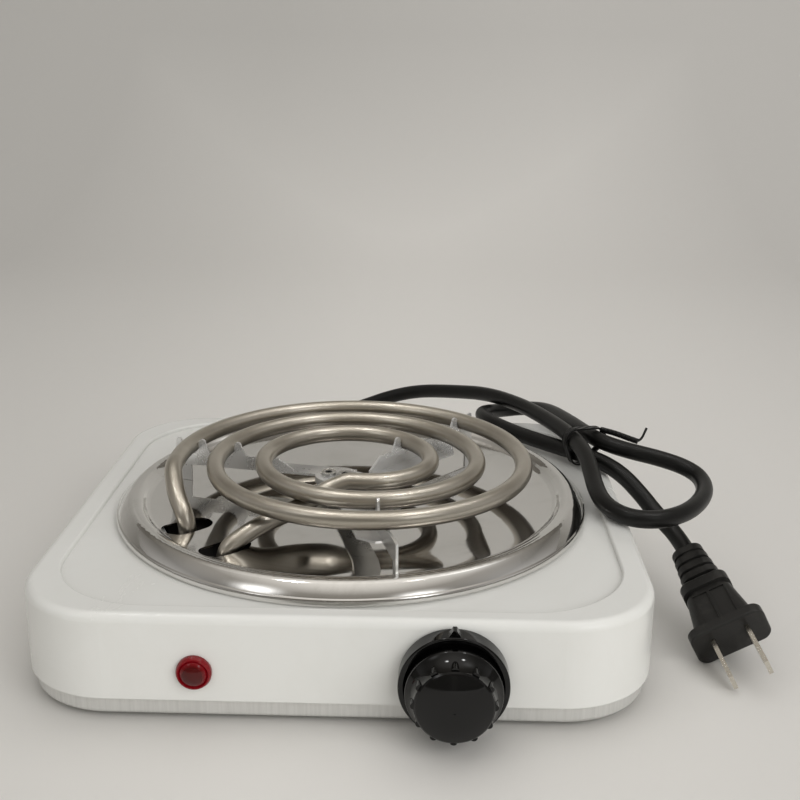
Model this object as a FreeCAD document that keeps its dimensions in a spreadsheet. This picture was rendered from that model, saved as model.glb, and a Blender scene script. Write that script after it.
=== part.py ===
import math
import os
import re

import FreeCAD
import Part
import Sketcher
from FreeCAD import Placement, Rotation, Vector

# Single-coil electric hot plate. Millimetres, +Z up, the table at Z = 0, the control knob facing -Y.
# The body's middle stands mid_y behind the origin: the knob reaches as far forward as the gland does back.

doc = FreeCAD.newDocument("hot_plate")
sheet = doc.addObject("Spreadsheet::Sheet", "sizes")
working = doc.addObject("Spreadsheet::Sheet", "working")

SIZES = {
    "mid_y": 10.25,
    # enamelled shell
    "body_width": 210, "body_depth": 200, "corner_radius": 32, "body_top": 38, "shell_low": 8.5,
    "shell_wall": 1, "top_round": 3, "panel_margin": 7.8, "panel_side_margin": 9.2, "panel_drop": 1.5,
    "panel_corner_radius": 35, "brink_round": 0.96, "panel_opening_radius": 74,
    # galvanised base tray, feet and brackets
    "foot_height": 2, "foot_radius": 7, "foot_bore": 1.7, "foot_recess_radius": 3.4,
    "foot_recess_depth": 1.3, "foot_from_side": 16, "foot_from_end": 39, "tray_inset": 1.7,
    "tray_round": 1.5, "tray_gauge": 0.8, "tray_top": 10.5, "vent_length": 40, "vent_width": 4,
    "vent_pitch": 12, "vent_count": 5, "screw_radius": 1.5, "screw_head_radius": 3,
    "screw_head_height": 1, "screw_play": 0.2, "base_screw_length": 6.5, "bracket_gauge": 1,
    "bracket_width": 11, "bracket_foot": 22, "bracket_top": 26, "bracket_jog": 0.5,
    # chromed drip pan
    "pan_x": -0.2, "pan_y": 0.2, "pan_gauge": 0.7, "pan_floor_radius": 60, "pan_crest_radius": 82.8,
    "pan_radius": 90.3, "pan_floor_height": 2.7, "pan_crest_height": 9.2, "pan_crest_round": 4,
    "pan_foot_radius": 78.6, "pan_foot_height": 4.4, "pan_foot_round": 3, "pan_lip": 2.4,
    "pan_lip_round": 1.1, "slot_length": 20.5, "slot_width": 11, "slot_angle": 50,
    # heating tube
    "coil_x": -0.75, "coil_y": -2, "coil_height": 16.6, "tube_radius": 3.3, "turn_1_left": 66.7,
    "turn_1_right": 66.7, "turn_2_left": 51.6, "turn_2_right": 48.8, "turn_3_left": 33.3,
    "turn_3_right": 30.9, "last_turn_radius": 23.4, "turns": 3, "outer_leg_x": -58.2,
    "outer_leg_y": -34.4, "inner_leg_x": -41.2, "inner_leg_y": -52.4, "leg_depth": 8, "last_turn_end": -97,
    "leg_lead_in": 12, "leg_step_x": -5.2, "leg_step_y": 7.6, "leg_step_drop": 0.6, "tail_1_x": 33.2,
    "tail_1_y": 26.1, "tail_1_drop": 0.81, "tail_2_x": 23.7, "tail_2_y": 16.9, "tail_2_drop": 0.56,
    "tail_3_x": 11.2, "tail_3_y": 6.4, "tail_3_drop": 0.42, "leg_clearance": 3, "seal_length": 6,
    "pin_radius": 1, "pin_length": 8,
    # spider
    "arm_gauge": 0.9, "front_arm_reach": 75, "left_arm_reach": 70.6, "right_arm_reach": 73,
    "arm_foot_length": 4, "horn_top": 19.4, "blade_low": 6.6, "flange_width": 9, "flange_reach": 57,
    "notch_play": 0.35, "front_arm_angle": -74, "right_arm_angle": 49, "left_arm_angle": 168,
    "hub_x": -6.4, "hub_y": 1, "hub_radius": 8.5, "rivet_spacing": 6.6, "rivet_radius": 1.9,
    "rivet_bore": 1.3, "rivet_head_radius": 3, "rivet_head_height": 0.9, "horn_width": 2.8,
    "horn_slope": 1.8, "shelf_drop": 2.6, "front_blade_start": 15.5, "left_blade_start": 23.5,
    "right_blade_start": 10, "blade_rise": 6, "foot_gap": 0.1,
    # pan fixing, crossbar and heat shield
    "bar_width": 16, "bar_gauge": 1.2, "bar_half_length": 74, "bar_foot": 13, "bar_top": 33,
    "bar_screw_length": 5, "shield_radius": 72, "shield_gauge": 0.6, "leg_play": 0.4,
    "pan_screw_radius": 2, "pan_screw_head_radius": 4, "pan_screw_head_height": 2.2, "pan_nut_width": 7,
    "pan_nut_height": 3.2, "spacer_radius": 4,
    # knob, shaft and thermostat
    "knob_x": 38.2, "axis_height": 18.8, "knob_gap": 0.8, "skirt_radius": 17.4, "skirt_height": 6,
    "skirt_wall": 1.6, "skirt_recess": 0.9, "skirt_round": 0.6, "neck_radius": 13.4, "neck_height": 1.5,
    "cap_radius": 15.2, "cap_rim": 2.4, "cap_round": 0.9, "cap_height": 9, "dome_radius": 12.2,
    "dome_height": 3.2, "dome_bevel": 0.5, "rib_count": 12, "rib_radius": 1.2, "notch_width": 1.6,
    "notch_depth": 0.7, "pointer_reach": 19.3, "pointer_width": 5, "boss_radius": 5.2,
    "boss_setback": 1.2, "shaft_radius": 3, "shaft_flat": 1.9, "shaft_back": 22, "shaft_front": 15,
    "shaft_play": 0.05, "bore_play": 0.08, "clip_gauge": 0.8, "clip_length": 2.4, "clip_play": 0.1,
    "clip_gap": 3, "clip_setback": 0.5, "bush_radius": 4.5, "bush_proud": 0.4, "bush_play": 0.3,
    "plate_width": 32, "plate_height": 14, "plate_gauge": 1.2, "stat_width": 26, "stat_height": 15,
    "stat_depth": 18, "stat_spacing": 22, "stat_screw_length": 8, "tab_width": 6.3, "tab_gauge": 0.8,
    "tab_length": 8, "tab_spacing": 12, "leaf_width": 7, "leaf_gauge": 0.6,
    # indicator
    "lens_x": -43.3, "lens_height": 18.9, "lens_radius": 5.7, "lens_flange": 1.2, "lens_dome": 2.6,
    "lens_ring": 0.9, "barrel_radius": 4.2, "barrel_length": 12, "barrel_bore": 3.2, "lamp_radius": 2.9,
    "lamp_length": 9, "barrel_play": 0.3, "push_nut_radius": 7.6, "push_nut_gauge": 0.8,
    # mains lead inside
    "cord_radius": 3.4, "gland_x": -48, "gland_height": 18, "gland_radius": 8, "gland_neck": 5.6,
    "gland_flange": 2.4, "gland_inner": 2, "gland_length": 24, "gland_tip_radius": 4.4, "gland_play": 0.2,
    "stub_length": 21, "clamp_width": 22, "clamp_depth": 9, "clamp_top": 25, "clamp_setback": 7,
    "clamp_play": 0.05, "block_width": 28, "block_depth": 18, "block_top": 23, "core_length": 10,
    "core_radius": 1.1, "core_spacing": 5, "block_screw_radius": 2.4, "block_screw_depth": 3,
    "wire_radius": 1.2, "wire_height": 14, "wire_drop": 9, "wire_run_out": 12,
    # plug
    "plug_x": 135.9, "plug_y": -57.3, "plug_z": 11.33, "plug_yaw": 8.2, "plug_pitch": -13.3,
    "plug_roll": 29, "flange_span": 27.4, "flange_thick": 15, "flange_deep": 4, "flange_round": 4,
    "flange_edge": 0.8, "grip_span": 22, "grip_thick": 12.4, "grip_length": 17, "grip_back_span": 17.2,
    "grip_back_thick": 10.4, "grip_round": 3.2, "panel_length": 15, "panel_width": 5.4,
    "panel_ridge": 1.2, "panel_depth": 1.4, "neck_span": 15, "neck_thick": 9.4, "neck_length": 2,
    "collar_span": 18.2, "collar_thick": 12, "collar_length": 5, "collar_round": 1, "relief_span": 14.6,
    "relief_thick": 10.4, "relief_tip_span": 12.2, "relief_tip_thick": 9.2, "relief_core": 8.2,
    "relief_ring": 3, "relief_groove": 1.7, "relief_rings": 4, "blade_spacing": 12.7, "blade_width": 6.35,
    "blade_gauge": 1.5, "blade_length": 18.2, "blade_hole_radius": 1.6, "blade_hole_setback": 4,
    "plug_lead_in": 10,
    # tie on the lead
    "tie_x": 96, "tie_y": 46, "tie_turn": 26, "tie_span": 20, "tie_play": 0.85, "tie_gauge": 0.7,
    "tie_width": 3.2, "tie_tail_radius": 1.2, "tie_end_radius": 0.5,
}

for row, (alias, value) in enumerate(SIZES.items(), start=1):
    sheet.set(f"A{row}", alias)
    sheet.set(f"B{row}", str(value))
    sheet.setAlias(f"B{row}", alias)
doc.recompute()

known_names = re.compile(r"\b(" + "|".join(sorted(SIZES, key=len, reverse=True)) + r")\b")
nodes = []


def size(alias):
    return float(sheet.get(alias))


def formula(text):
    return known_names.sub(r"sizes.\1", text)


def bind(thing, prop, text):
    thing.setExpression(prop, formula(text))


def amount(text):
    # The number that a formula comes to, for drawing a sketch where its constraints will hold it.
    working.set("A1", "=" + formula(text))
    working.recompute()
    return float(working.get("A1"))


def sub_part(thing, label, x="0", y="mid_y", z="0", turn=None):
    # A finished piece: its file's name, and its place from the body's middle.
    if turn is not None:
        thing.Placement = Placement(Vector(), turn)
    thing.Label = label
    for axis, text in zip("xyz", (x, y, z)):
        bind(thing, f"Placement.Base.{axis}", text)
    nodes.append(thing)
    return thing


FACING_FRONT = Rotation(Vector(1, 0, 0), 90)
FRONT_Y = "mid_y - body_depth / 2"
TRAY_FLOOR = "foot_height + tray_gauge"
PANEL_Z = "body_top - panel_drop"


def new_body(name):
    return doc.addObject("PartDesign::Body", name)


def new_sketch(body, plane, offset="0"):
    sketch = body.newObject("Sketcher::SketchObject", body.Name + "_sketch")
    origin_plane = [f for f in body.Origin.OriginFeatures if f.Role == plane][0]
    sketch.AttachmentSupport = (origin_plane, [""])
    sketch.MapMode = "FlatFace"
    bind(sketch, "AttachmentOffset.Base.z", offset)
    return sketch


def fix_point(sketch, line, end, place):
    # Holds one end of a sketch line at a place worked out from the sheet.
    for kind, text in zip(("DistanceX", "DistanceY"), place):
        at = sketch.addConstraint(Sketcher.Constraint(kind, line, end, amount(text)))
        bind(sketch, f"Constraints[{at}]", text)


def point(place):
    return Vector(amount(place[0]), amount(place[1]), 0)


def outline(sketch, places, middles=None):
    # A closed outline through places given as formulas; a run that is given a middle is an arc about it.
    middles = middles or {}
    first = sketch.GeometryCount
    count = len(places)
    corners = [point(place) for place in places]
    ends = []
    for i, (start, stop) in enumerate(zip(corners, corners[1:] + corners[:1])):
        if i not in middles:
            sketch.addGeometry(Part.LineSegment(start, stop))
            ends.append((1, 2))
            continue
        middle = point(middles[i])
        from_start, from_stop = [math.atan2((p - middle).y, (p - middle).x) for p in (start, stop)]
        onward = (from_stop - from_start) % (2 * math.pi) < math.pi
        low, high = (from_start, from_stop) if onward else (from_stop, from_start)
        ring = Part.Circle(middle, Vector(0, 0, 1), (start - middle).Length)
        sketch.addGeometry(Part.ArcOfCircle(ring, low, low + (high - low) % (2 * math.pi)))
        ends.append((1, 2) if onward else (2, 1))
    for i in range(count):
        j = (i + 1) % count
        sketch.addConstraint(Sketcher.Constraint("Coincident", first + i, ends[i][1], first + j, ends[j][0]))
        fix_point(sketch, first + i, ends[i][0], places[i])
    for i, (_, height) in middles.items():
        held = sketch.addConstraint(Sketcher.Constraint("DistanceY", first + i, 3, amount(height)))
        bind(sketch, f"Constraints[{held}]", height)
    return sketch


def rectangle(sketch, width, depth, x="0", y="0"):
    corners = [(-1, -1), (1, -1), (1, 1), (-1, 1)]
    places = [(f"({x}) + {sx} * ({width}) / 2", f"({y}) + {sy} * ({depth}) / 2") for sx, sy in corners]
    return outline(sketch, places)


def circle(sketch, radius, x="0", y="0"):
    at = sketch.addGeometry(Part.Circle(point((x, y)), Vector(0, 0, 1), amount(radius)))
    fix_point(sketch, at, 3, (x, y))
    held = sketch.addConstraint(Sketcher.Constraint("Radius", at, amount(radius)))
    bind(sketch, f"Constraints[{held}]", radius)
    return sketch


def pad(body, sketch, length, taper=None):
    feature = body.newObject("PartDesign::Pad", body.Name + "_pad")
    feature.Profile = sketch
    bind(feature, "Length", length)
    if taper is not None:
        bind(feature, "TaperAngle", taper)
    doc.recompute()
    return feature


def pocket(body, sketch, depth=None):
    # Cuts towards the solid: a pocket that removes nothing is turned round.
    before = body.Shape.Volume
    feature = body.newObject("PartDesign::Pocket", body.Name + "_pocket")
    feature.Profile = sketch
    if depth is None:
        feature.Type = "ThroughAll"
        feature.Midplane = True
    else:
        bind(feature, "Length", depth)
    doc.recompute()
    if body.Shape.Volume > before - 1e-6:
        feature.Reversed = True
        doc.recompute()
    return feature


def revolve(body, sketch):
    feature = body.newObject("PartDesign::Revolution", body.Name + "_turn")
    feature.Profile = sketch
    feature.ReferenceAxis = (sketch, ["V_Axis"])
    feature.Angle = 360
    doc.recompute()
    return feature


def rounded(body, radius, wanted, kind="PartDesign::Fillet"):
    # Rounds or bevels the edges of the finished form that the test picks.
    base = body.Tip
    names = [f"Edge{i}" for i, edge in enumerate(base.Shape.Edges, start=1) if wanted(edge)]
    feature = body.newObject(kind, body.Name + "_round")
    feature.Base = (base, names)
    bind(feature, "Radius" if kind.endswith("Fillet") else "Size", radius)
    doc.recompute()
    return feature


def upright(edge):
    ends = edge.Vertexes
    if len(ends) != 2 or not isinstance(edge.Curve, Part.Line):
        return False
    return math.hypot(ends[0].X - ends[1].X, ends[0].Y - ends[1].Y) < 1e-6


def level_at(z):
    def test(edge):
        box = edge.BoundBox
        return abs(box.ZMin - z) < 1e-5 and abs(box.ZMax - z) < 1e-5
    return test


def turned(name, profile, middles=None):
    body = new_body(name)
    revolve(body, outline(new_sketch(body, "XZ_Plane"), profile, middles))
    return body


def dome_middle(radius, height, top):
    # Middle of the arc of a dome on the axis, from its radius, its height and its top.
    return ("0", f"({top}) - (({radius}) ^ 2 + ({height}) ^ 2) / (2 * ({height}))")


def ring_at(radius, z=None):
    # Picks the round edges of this radius, at one level or at all.
    wanted_radius = amount(radius)
    wanted_z = None if z is None else amount(z)

    def test(edge):
        if edge.Degenerated or not isinstance(edge.Curve, Part.Circle):
            return False
        if abs(edge.Curve.Radius - wanted_radius) > 1e-4:
            return False
        return wanted_z is None or abs(edge.Curve.Center.z - wanted_z) < 1e-4
    return test


def primitive(kind, name, **sizes):
    thing = doc.addObject(kind, name)
    for prop, text in sizes.items():
        bind(thing, prop, text)
    return thing


def block(name, width, depth, height, x="0", y="0", z="0"):
    # A box, given by its middle in X and Y and by its lower face.
    thing = primitive("Part::Box", name, Length=width, Width=depth, Height=height)
    bind(thing, "Placement.Base.x", f"({x}) - ({width}) / 2")
    bind(thing, "Placement.Base.y", f"({y}) - ({depth}) / 2")
    bind(thing, "Placement.Base.z", z)
    return thing


def rod(name, radius, height, x="0", y="0", z="0"):
    thing = primitive("Part::Cylinder", name, Radius=radius, Height=height)
    for axis, text in zip("xyz", (x, y, z)):
        bind(thing, f"Placement.Base.{axis}", text)
    return thing


def cut(name, base, tool):
    thing = doc.addObject("Part::Cut", name)
    thing.Base = base
    thing.Tool = tool
    return thing


def fuse(name, pieces):
    thing = doc.addObject("Part::MultiFuse", name)
    thing.Shapes = pieces
    return thing


def group(name, pieces):
    thing = doc.addObject("Part::Compound", name)
    thing.Links = pieces
    return thing


def made(name, shape):
    thing = doc.addObject("Part::Feature", name)
    thing.Shape = shape
    return thing


def screw(name, length, x, y, z):
    # Head below, shank upwards; z is the underside of the clamped sheet, where the head bears.
    shank = rod(name + "_shank", "screw_radius", length, x, y, z)
    head = rod(name + "_head", "screw_head_radius", "screw_head_height", x, y, f"({z}) - screw_head_height")
    return fuse(name, [shank, head])


def corners_of(side, end):
    return [(sx, sy, f"{sx} * ({side})", f"{sy} * ({end})") for sx in (-1, 1) for sy in (-1, 1)]


def rounded_rectangle(sketch, width, depth, radius):
    # Four sides and four corner arcs, anticlockwise from the right-hand side.
    first = sketch.GeometryCount
    far_x, far_y = f"({width}) / 2", f"({depth}) / 2"
    near_x, near_y = f"(({width}) / 2 - ({radius}))", f"(({depth}) / 2 - ({radius}))"
    sides = [
        ((far_x, f"-{near_y}"), (far_x, near_y)),
        ((near_x, far_y), (f"-{near_x}", far_y)),
        ((f"-({far_x})", near_y), (f"-({far_x})", f"-{near_y}")),
        ((f"-{near_x}", f"-({far_y})"), (near_x, f"-({far_y})")),
    ]
    middles = [(near_x, near_y), (f"-{near_x}", near_y), (f"-{near_x}", f"-{near_y}"), (near_x, f"-{near_y}")]
    for k, (start, stop) in enumerate(sides):
        sketch.addGeometry(Part.LineSegment(point(start), point(stop)))
        corner = Part.Circle(point(middles[k]), Vector(0, 0, 1), amount(radius))
        sketch.addGeometry(Part.ArcOfCircle(corner, k * math.pi / 2, (k + 1) * math.pi / 2))
    for k, (start, stop) in enumerate(sides):
        line, arc, following = first + 2 * k, first + 2 * k + 1, first + (2 * k + 2) % 8
        sketch.addConstraint(Sketcher.Constraint("Coincident", line, 2, arc, 1))
        sketch.addConstraint(Sketcher.Constraint("Coincident", arc, 2, following, 1))
        fix_point(sketch, line, 1, start)
        fix_point(sketch, line, 2, stop)
        across = middles[k][0]
        held = sketch.addConstraint(Sketcher.Constraint("DistanceX", arc, 3, amount(across)))
        bind(sketch, f"Constraints[{held}]", across)
    return sketch


def obround(sketch, x, y, length, width, angle):
    # Two sides and two round ends, anticlockwise, with the long way at an angle to X.
    first = sketch.GeometryCount
    half = f"(({length}) - ({width})) / 2"

    def place(along, across):
        return (f"({x}) + ({along}) * cos({angle}) - ({across}) * sin({angle})",
                f"({y}) + ({along}) * sin({angle}) + ({across}) * cos({angle})")

    for k, way in enumerate((1, -1)):
        start = place(f"-{way} * {half}", f"-{way} * ({width}) / 2")
        stop = place(f"{way} * {half}", f"-{way} * ({width}) / 2")
        middle = place(f"{way} * {half}", "0")
        sketch.addGeometry(Part.LineSegment(point(start), point(stop)))
        end = Part.Circle(point(middle), Vector(0, 0, 1), amount(width) / 2)
        facing = math.radians(amount(angle)) + k * math.pi
        sketch.addGeometry(Part.ArcOfCircle(end, facing - math.pi / 2, facing + math.pi / 2))
        fix_point(sketch, first + 2 * k, 1, start)
        fix_point(sketch, first + 2 * k, 2, stop)
        held = sketch.addConstraint(Sketcher.Constraint("DistanceX", first + 2 * k + 1, 3, amount(middle[0])))
        bind(sketch, f"Constraints[{held}]", middle[0])
    for k in range(4):
        sketch.addConstraint(Sketcher.Constraint("Coincident", first + k, 2, first + (k + 1) % 4, 1))
    return sketch


def profile_bar(name, places, width, y="0"):
    # A bent strip: its profile in XZ, drawn out to both sides of y.
    body = new_body(name)
    sketch = outline(new_sketch(body, "XZ_Plane", f"-({y})"), places)
    strip = pad(body, sketch, width)
    strip.SideType = "Symmetric"
    doc.recompute()
    return body


def hole_up(body, radius, x, y, z, depth):
    # A round hole cut downwards from the level z.
    return pocket(body, circle(new_sketch(body, "XY_Plane", f"({z})"), radius, x, y), depth)


def body_shell():
    body = new_body("body_shell")
    shell = rounded_rectangle(
        new_sketch(body, "XY_Plane", "shell_low"), "body_width", "body_depth", "corner_radius")
    pad(body, shell, "body_top - shell_low")
    rounded(body, "top_round", level_at(size("body_top")))
    cavity = rounded_rectangle(
        new_sketch(body, "XY_Plane", "shell_low"),
        "body_width - 2 * shell_wall", "body_depth - 2 * shell_wall", "corner_radius - shell_wall")
    pocket(body, cavity, "body_top - shell_low - shell_wall")
    sheet_under_panel = rounded_rectangle(
        new_sketch(body, "XY_Plane", "body_top - panel_drop - shell_wall"),
        "body_width - 2 * panel_side_margin + 2 * shell_wall",
        "body_depth - 2 * panel_margin + 2 * shell_wall",
        "panel_corner_radius + shell_wall")
    pad(body, sheet_under_panel, "panel_drop")
    panel = rounded_rectangle(
        new_sketch(body, "XY_Plane", "body_top"),
        "body_width - 2 * panel_side_margin", "body_depth - 2 * panel_margin", "panel_corner_radius")
    pocket(body, panel, "panel_drop")
    inside = size("body_width") / 2 - size("panel_side_margin") / 2
    at_top = level_at(size("body_top"))

    def on_brink(edge):
        return at_top(edge) and max(abs(edge.BoundBox.XMin), abs(edge.BoundBox.XMax)) < inside

    rounded(body, "brink_round", on_brink)
    hole_up(body, "panel_opening_radius", "pan_x", "pan_y", PANEL_Z, "2 * shell_wall")
    front = new_sketch(body, "XZ_Plane", "body_depth / 2")
    circle(front, "bush_radius + bush_play", "knob_x", "axis_height")
    circle(front, "barrel_radius + barrel_play", "lens_x", "lens_height")
    for side in (-1, 1):
        circle(front, "screw_radius + screw_play", f"knob_x + {side} * stat_spacing / 2", "axis_height")
    pocket(body, front, "2 * shell_wall")
    back = new_sketch(body, "XZ_Plane", "-body_depth / 2")
    circle(back, "gland_neck + gland_play", "gland_x", "gland_height")
    pocket(body, back, "2 * shell_wall")
    return sub_part(body, "body_shell")


FOOT_X = "body_width / 2 - foot_from_side"
FOOT_Y = "body_depth / 2 - foot_from_end"
BAR_SCREW_X = "bar_half_length + bar_foot / 2"
CLAMP_Y = "body_depth / 2 - shell_wall - gland_inner - clamp_setback - clamp_depth / 2"
CLAMP_SCREW_X = "clamp_width / 3"
BLOCK_BACK = "body_depth / 2 - shell_wall - gland_inner - stub_length - core_length"


def base_tray():
    body = new_body("base_tray")
    outer = rounded_rectangle(
        new_sketch(body, "XY_Plane", "foot_height"),
        "body_width - 2 * tray_inset", "body_depth - 2 * tray_inset", "corner_radius - tray_inset")
    pad(body, outer, "tray_top - foot_height")
    rounded(body, "tray_round", level_at(size("foot_height")))
    inner_inset = "2 * (tray_inset + tray_gauge)"
    inner = rounded_rectangle(
        new_sketch(body, "XY_Plane", "tray_top"),
        f"body_width - {inner_inset}", f"body_depth - {inner_inset}",
        "corner_radius - tray_inset - tray_gauge")
    pocket(body, inner, f"tray_top - ({TRAY_FLOOR})")
    holes = new_sketch(body, "XY_Plane", TRAY_FLOOR)
    for sx, sy, x, y in corners_of(FOOT_X, FOOT_Y):
        circle(holes, "screw_radius + screw_play", x, y)
    for side in (-1, 1):
        circle(holes, "screw_radius + screw_play", f"{side} * ({BAR_SCREW_X})", "pan_y")
        circle(holes, "screw_radius + screw_play", f"gland_x + {side} * {CLAMP_SCREW_X}", CLAMP_Y)
        for k in range(int(size("vent_count"))):
            y = f"pan_y - bar_width - 2 * vent_pitch + ({k} - (vent_count - 1) / 2) * vent_pitch"
            rectangle(holes, "vent_length", "vent_width", f"{side} * vent_length", y)
    pocket(body, holes, "2 * tray_gauge")
    return sub_part(body, "base_tray")


def feet_and_brackets():
    feet, screws, brackets = [], [], []
    for sx, sy, x, y in corners_of(FOOT_X, FOOT_Y):
        name = f"{'left' if sx < 0 else 'right'}_{'front' if sy < 0 else 'rear'}"
        bore = rod("foot_bore_" + name, "foot_bore", "foot_height", x, y)
        recess = rod("foot_recess_" + name, "foot_recess_radius", "foot_recess_depth", x, y)
        foot = rod("foot_" + name, "foot_radius", "foot_height", x, y)
        feet.append(cut("rubber_foot_" + name, foot, fuse("foot_hollow_" + name, [bore, recess])))
        screws.append(screw("base_screw_" + name, "base_screw_length", x, y, "foot_recess_depth"))
        wall = "body_width / 2 - shell_wall"
        tray_wall = "body_width / 2 - tray_inset - tray_gauge"
        jog = "tray_top + bracket_jog"
        places = [
            (f"{tray_wall} - bracket_foot", TRAY_FLOOR),
            (tray_wall, TRAY_FLOOR),
            (tray_wall, jog),
            (wall, jog),
            (wall, "bracket_top"),
            (f"{wall} - bracket_gauge", "bracket_top"),
            (f"{wall} - bracket_gauge", f"{jog} + bracket_gauge"),
            (f"{tray_wall} - bracket_gauge", f"{jog} + bracket_gauge"),
            (f"{tray_wall} - bracket_gauge", f"{TRAY_FLOOR} + bracket_gauge"),
            (f"{tray_wall} - bracket_foot", f"{TRAY_FLOOR} + bracket_gauge"),
        ]
        mirrored = [(f"{sx} * ({px})", pz) for px, pz in places]
        bracket = profile_bar("bracket_" + name, mirrored, "bracket_width", y)
        bracket_floor = f"{TRAY_FLOOR} + bracket_gauge"
        hole_up(bracket, "screw_radius + screw_play", x, y, bracket_floor, "2 * bracket_gauge")
        brackets.append(bracket)
    sub_part(group("feet", feet), "rubber_feet")
    sub_part(group("base_screw_set", screws), "base_screws")
    sub_part(group("bracket_set", brackets), "corner_brackets")


DISH_RUN = "(pan_foot_radius - pan_floor_radius)"
DISH_RISE = "(pan_foot_height - pan_floor_height)"
DISH_SWEEP = f"({DISH_RUN} ^ 2 + {DISH_RISE} ^ 2) / (2 * {DISH_RISE})"


def pan_height_at(place):
    # Height above the panel of the dish's gentle slope, between its floor and the foot of its rim.
    past = math.hypot(place.x - size("pan_x"), place.y - size("pan_y")) - size("pan_floor_radius")
    sweep = amount(DISH_SWEEP)
    return size("pan_floor_height") + sweep - math.sqrt(sweep ** 2 - past ** 2)


def drip_pan():
    profile = [
        ("pan_screw_radius + screw_play", "pan_floor_height"),
        ("pan_floor_radius", "pan_floor_height"),
        ("pan_foot_radius", "pan_foot_height"),
        ("pan_crest_radius", "pan_crest_height"),
        ("pan_radius", "pan_lip"),
        ("pan_radius", "0"),
        ("pan_radius - pan_lip", "0"),
        ("pan_radius - pan_lip", "pan_lip - 0.3 * pan_gauge"),
        ("pan_crest_radius", "pan_crest_height - 1.5 * pan_gauge"),
        ("pan_foot_radius", "pan_foot_height - pan_gauge"),
        ("pan_floor_radius", "pan_floor_height - pan_gauge"),
        ("pan_screw_radius + screw_play", "pan_floor_height - pan_gauge"),
    ]
    above = f"pan_floor_height + {DISH_SWEEP}"
    dish = {1: ("pan_floor_radius", above), 9: ("pan_floor_radius", f"{above} - pan_gauge")}
    body = turned("drip_pan", profile, dish)
    rounded(body, "pan_crest_round", ring_at("pan_crest_radius"))
    rounded(body, "pan_foot_round", ring_at("pan_foot_radius"))
    rounded(body, "pan_lip_round", ring_at("pan_radius"))
    slots = new_sketch(body, "XY_Plane", "pan_crest_height")
    for leg in ("outer", "inner"):
        x, y = f"{leg}_leg_x - pan_x", f"{leg}_leg_y - pan_y"
        obround(slots, x, y, "slot_length", "slot_width", "slot_angle")
    pocket(body, slots, "2 * pan_crest_height")
    return sub_part(body, "drip_pan", "pan_x", "mid_y + pan_y", PANEL_Z)


def routed_path(points):
    # Straight runs joined by tangent arcs, each arc as large as the shorter of its two runs allows.
    reach_share = 0.45
    edges, radii = [], []
    here = points[0]
    for before, corner, after in zip(points, points[1:], points[2:]):
        into, out = (corner - before), (after - corner)
        reach = reach_share * min(into.Length, out.Length)
        into.normalize()
        out.normalize()
        turn = into.getAngle(out)
        radius = reach / math.tan(turn / 2)
        start, stop = corner - into * reach, corner + out * reach
        bisector = out - into
        bisector.normalize()
        centre = corner + bisector * (radius / math.cos(turn / 2))
        towards = corner - centre
        towards.normalize()
        edges.append(Part.LineSegment(here, start).toShape())
        edges.append(Part.Arc(start, centre + towards * radius, stop).toShape())
        radii.append(radius)
        here = stop
    edges.append(Part.LineSegment(here, points[-1]).toShape())
    return edges, radii


def tube_along(edges, radius):
    path = Part.Wire(edges)
    start = edges[0].valueAt(edges[0].FirstParameter)
    heading = edges[0].tangentAt(edges[0].FirstParameter)
    ring = Part.Wire(Part.Circle(start, heading, radius).toShape())
    return path.makePipeShell([ring], True, False), path


def half_turns():
    # The spiral's halves, clockwise from above and outside in: each one's middle along X, and its radius.
    middle = size("coil_x")
    sides = []
    for k in range(int(size("turns"))):
        sides += [middle - size(f"turn_{k + 1}_left"), middle + size(f"turn_{k + 1}_right")]
    halves = [((a + b) / 2, abs(a - b) / 2) for a, b in zip(sides, sides[1:])]
    return halves + [(sides[-1] - size("last_turn_radius"), size("last_turn_radius"))]


def coil_edges():
    y, z = size("coil_y"), size("body_top") + size("coil_height")
    halves = half_turns()
    edges = []
    for k, (x, radius) in enumerate(halves):
        start = 180 if k % 2 == 0 else 0
        last = size("last_turn_end") if k == len(halves) - 1 else start - 180
        edges.append(arc_about(Vector(x, y, z), radius, start, last))
    return edges


def arc_about(middle, radius, start, stop):
    def at(angle):
        a = math.radians(angle)
        return middle + Vector(radius * math.cos(a), radius * math.sin(a), 0)
    return Part.Arc(at(start), at((start + stop) / 2), at(stop)).toShape()


def heating_coil():
    # Each step of a leg is placed from the leg's own foot: X, Y and the share of the drop still to come.
    def steps(foot, names):
        for name in names:
            x, y = foot.x + size(name + "_x"), foot.y + size(name + "_y")
            yield Vector(x, y, floor + size(name + "_drop") * drop)
    turns = coil_edges()
    start = turns[0].valueAt(turns[0].FirstParameter)
    stop = turns[-1].valueAt(turns[-1].LastParameter)
    onward = turns[-1].tangentAt(turns[-1].LastParameter)
    floor = size("body_top") - size("panel_drop") + size("pan_floor_height")
    low = size("body_top") - size("leg_depth")
    drop = stop.z - floor
    lead_in = size("leg_lead_in")
    outer, inner = [Vector(size(leg + "_leg_x"), size(leg + "_leg_y"), low) for leg in ("outer", "inner")]
    outer_bend = Vector(outer.x, outer.y, floor + size("leg_clearance"))
    outer_leg = [outer, outer_bend, *steps(outer, ["leg_step"])]
    outer_leg += [start - Vector(0, lead_in, 0), start]
    inner_leg = [stop, stop + onward * (lead_in / 3)]
    inner_leg += steps(inner, ["tail_1", "tail_2", "tail_3"])
    inner_leg += [Vector(inner.x, inner.y, floor), inner]
    first, _ = routed_path(outer_leg)
    last, _ = routed_path(inner_leg)
    shape, path = tube_along(first + turns + last, size("tube_radius"))
    expected = math.pi * size("tube_radius") ** 2 * path.Length
    print(f"heating_coil volume {shape.Volume:.0f}, section times length {expected:.0f}")
    return sub_part(made("heating_coil", shape), "heating_coil")


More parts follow.
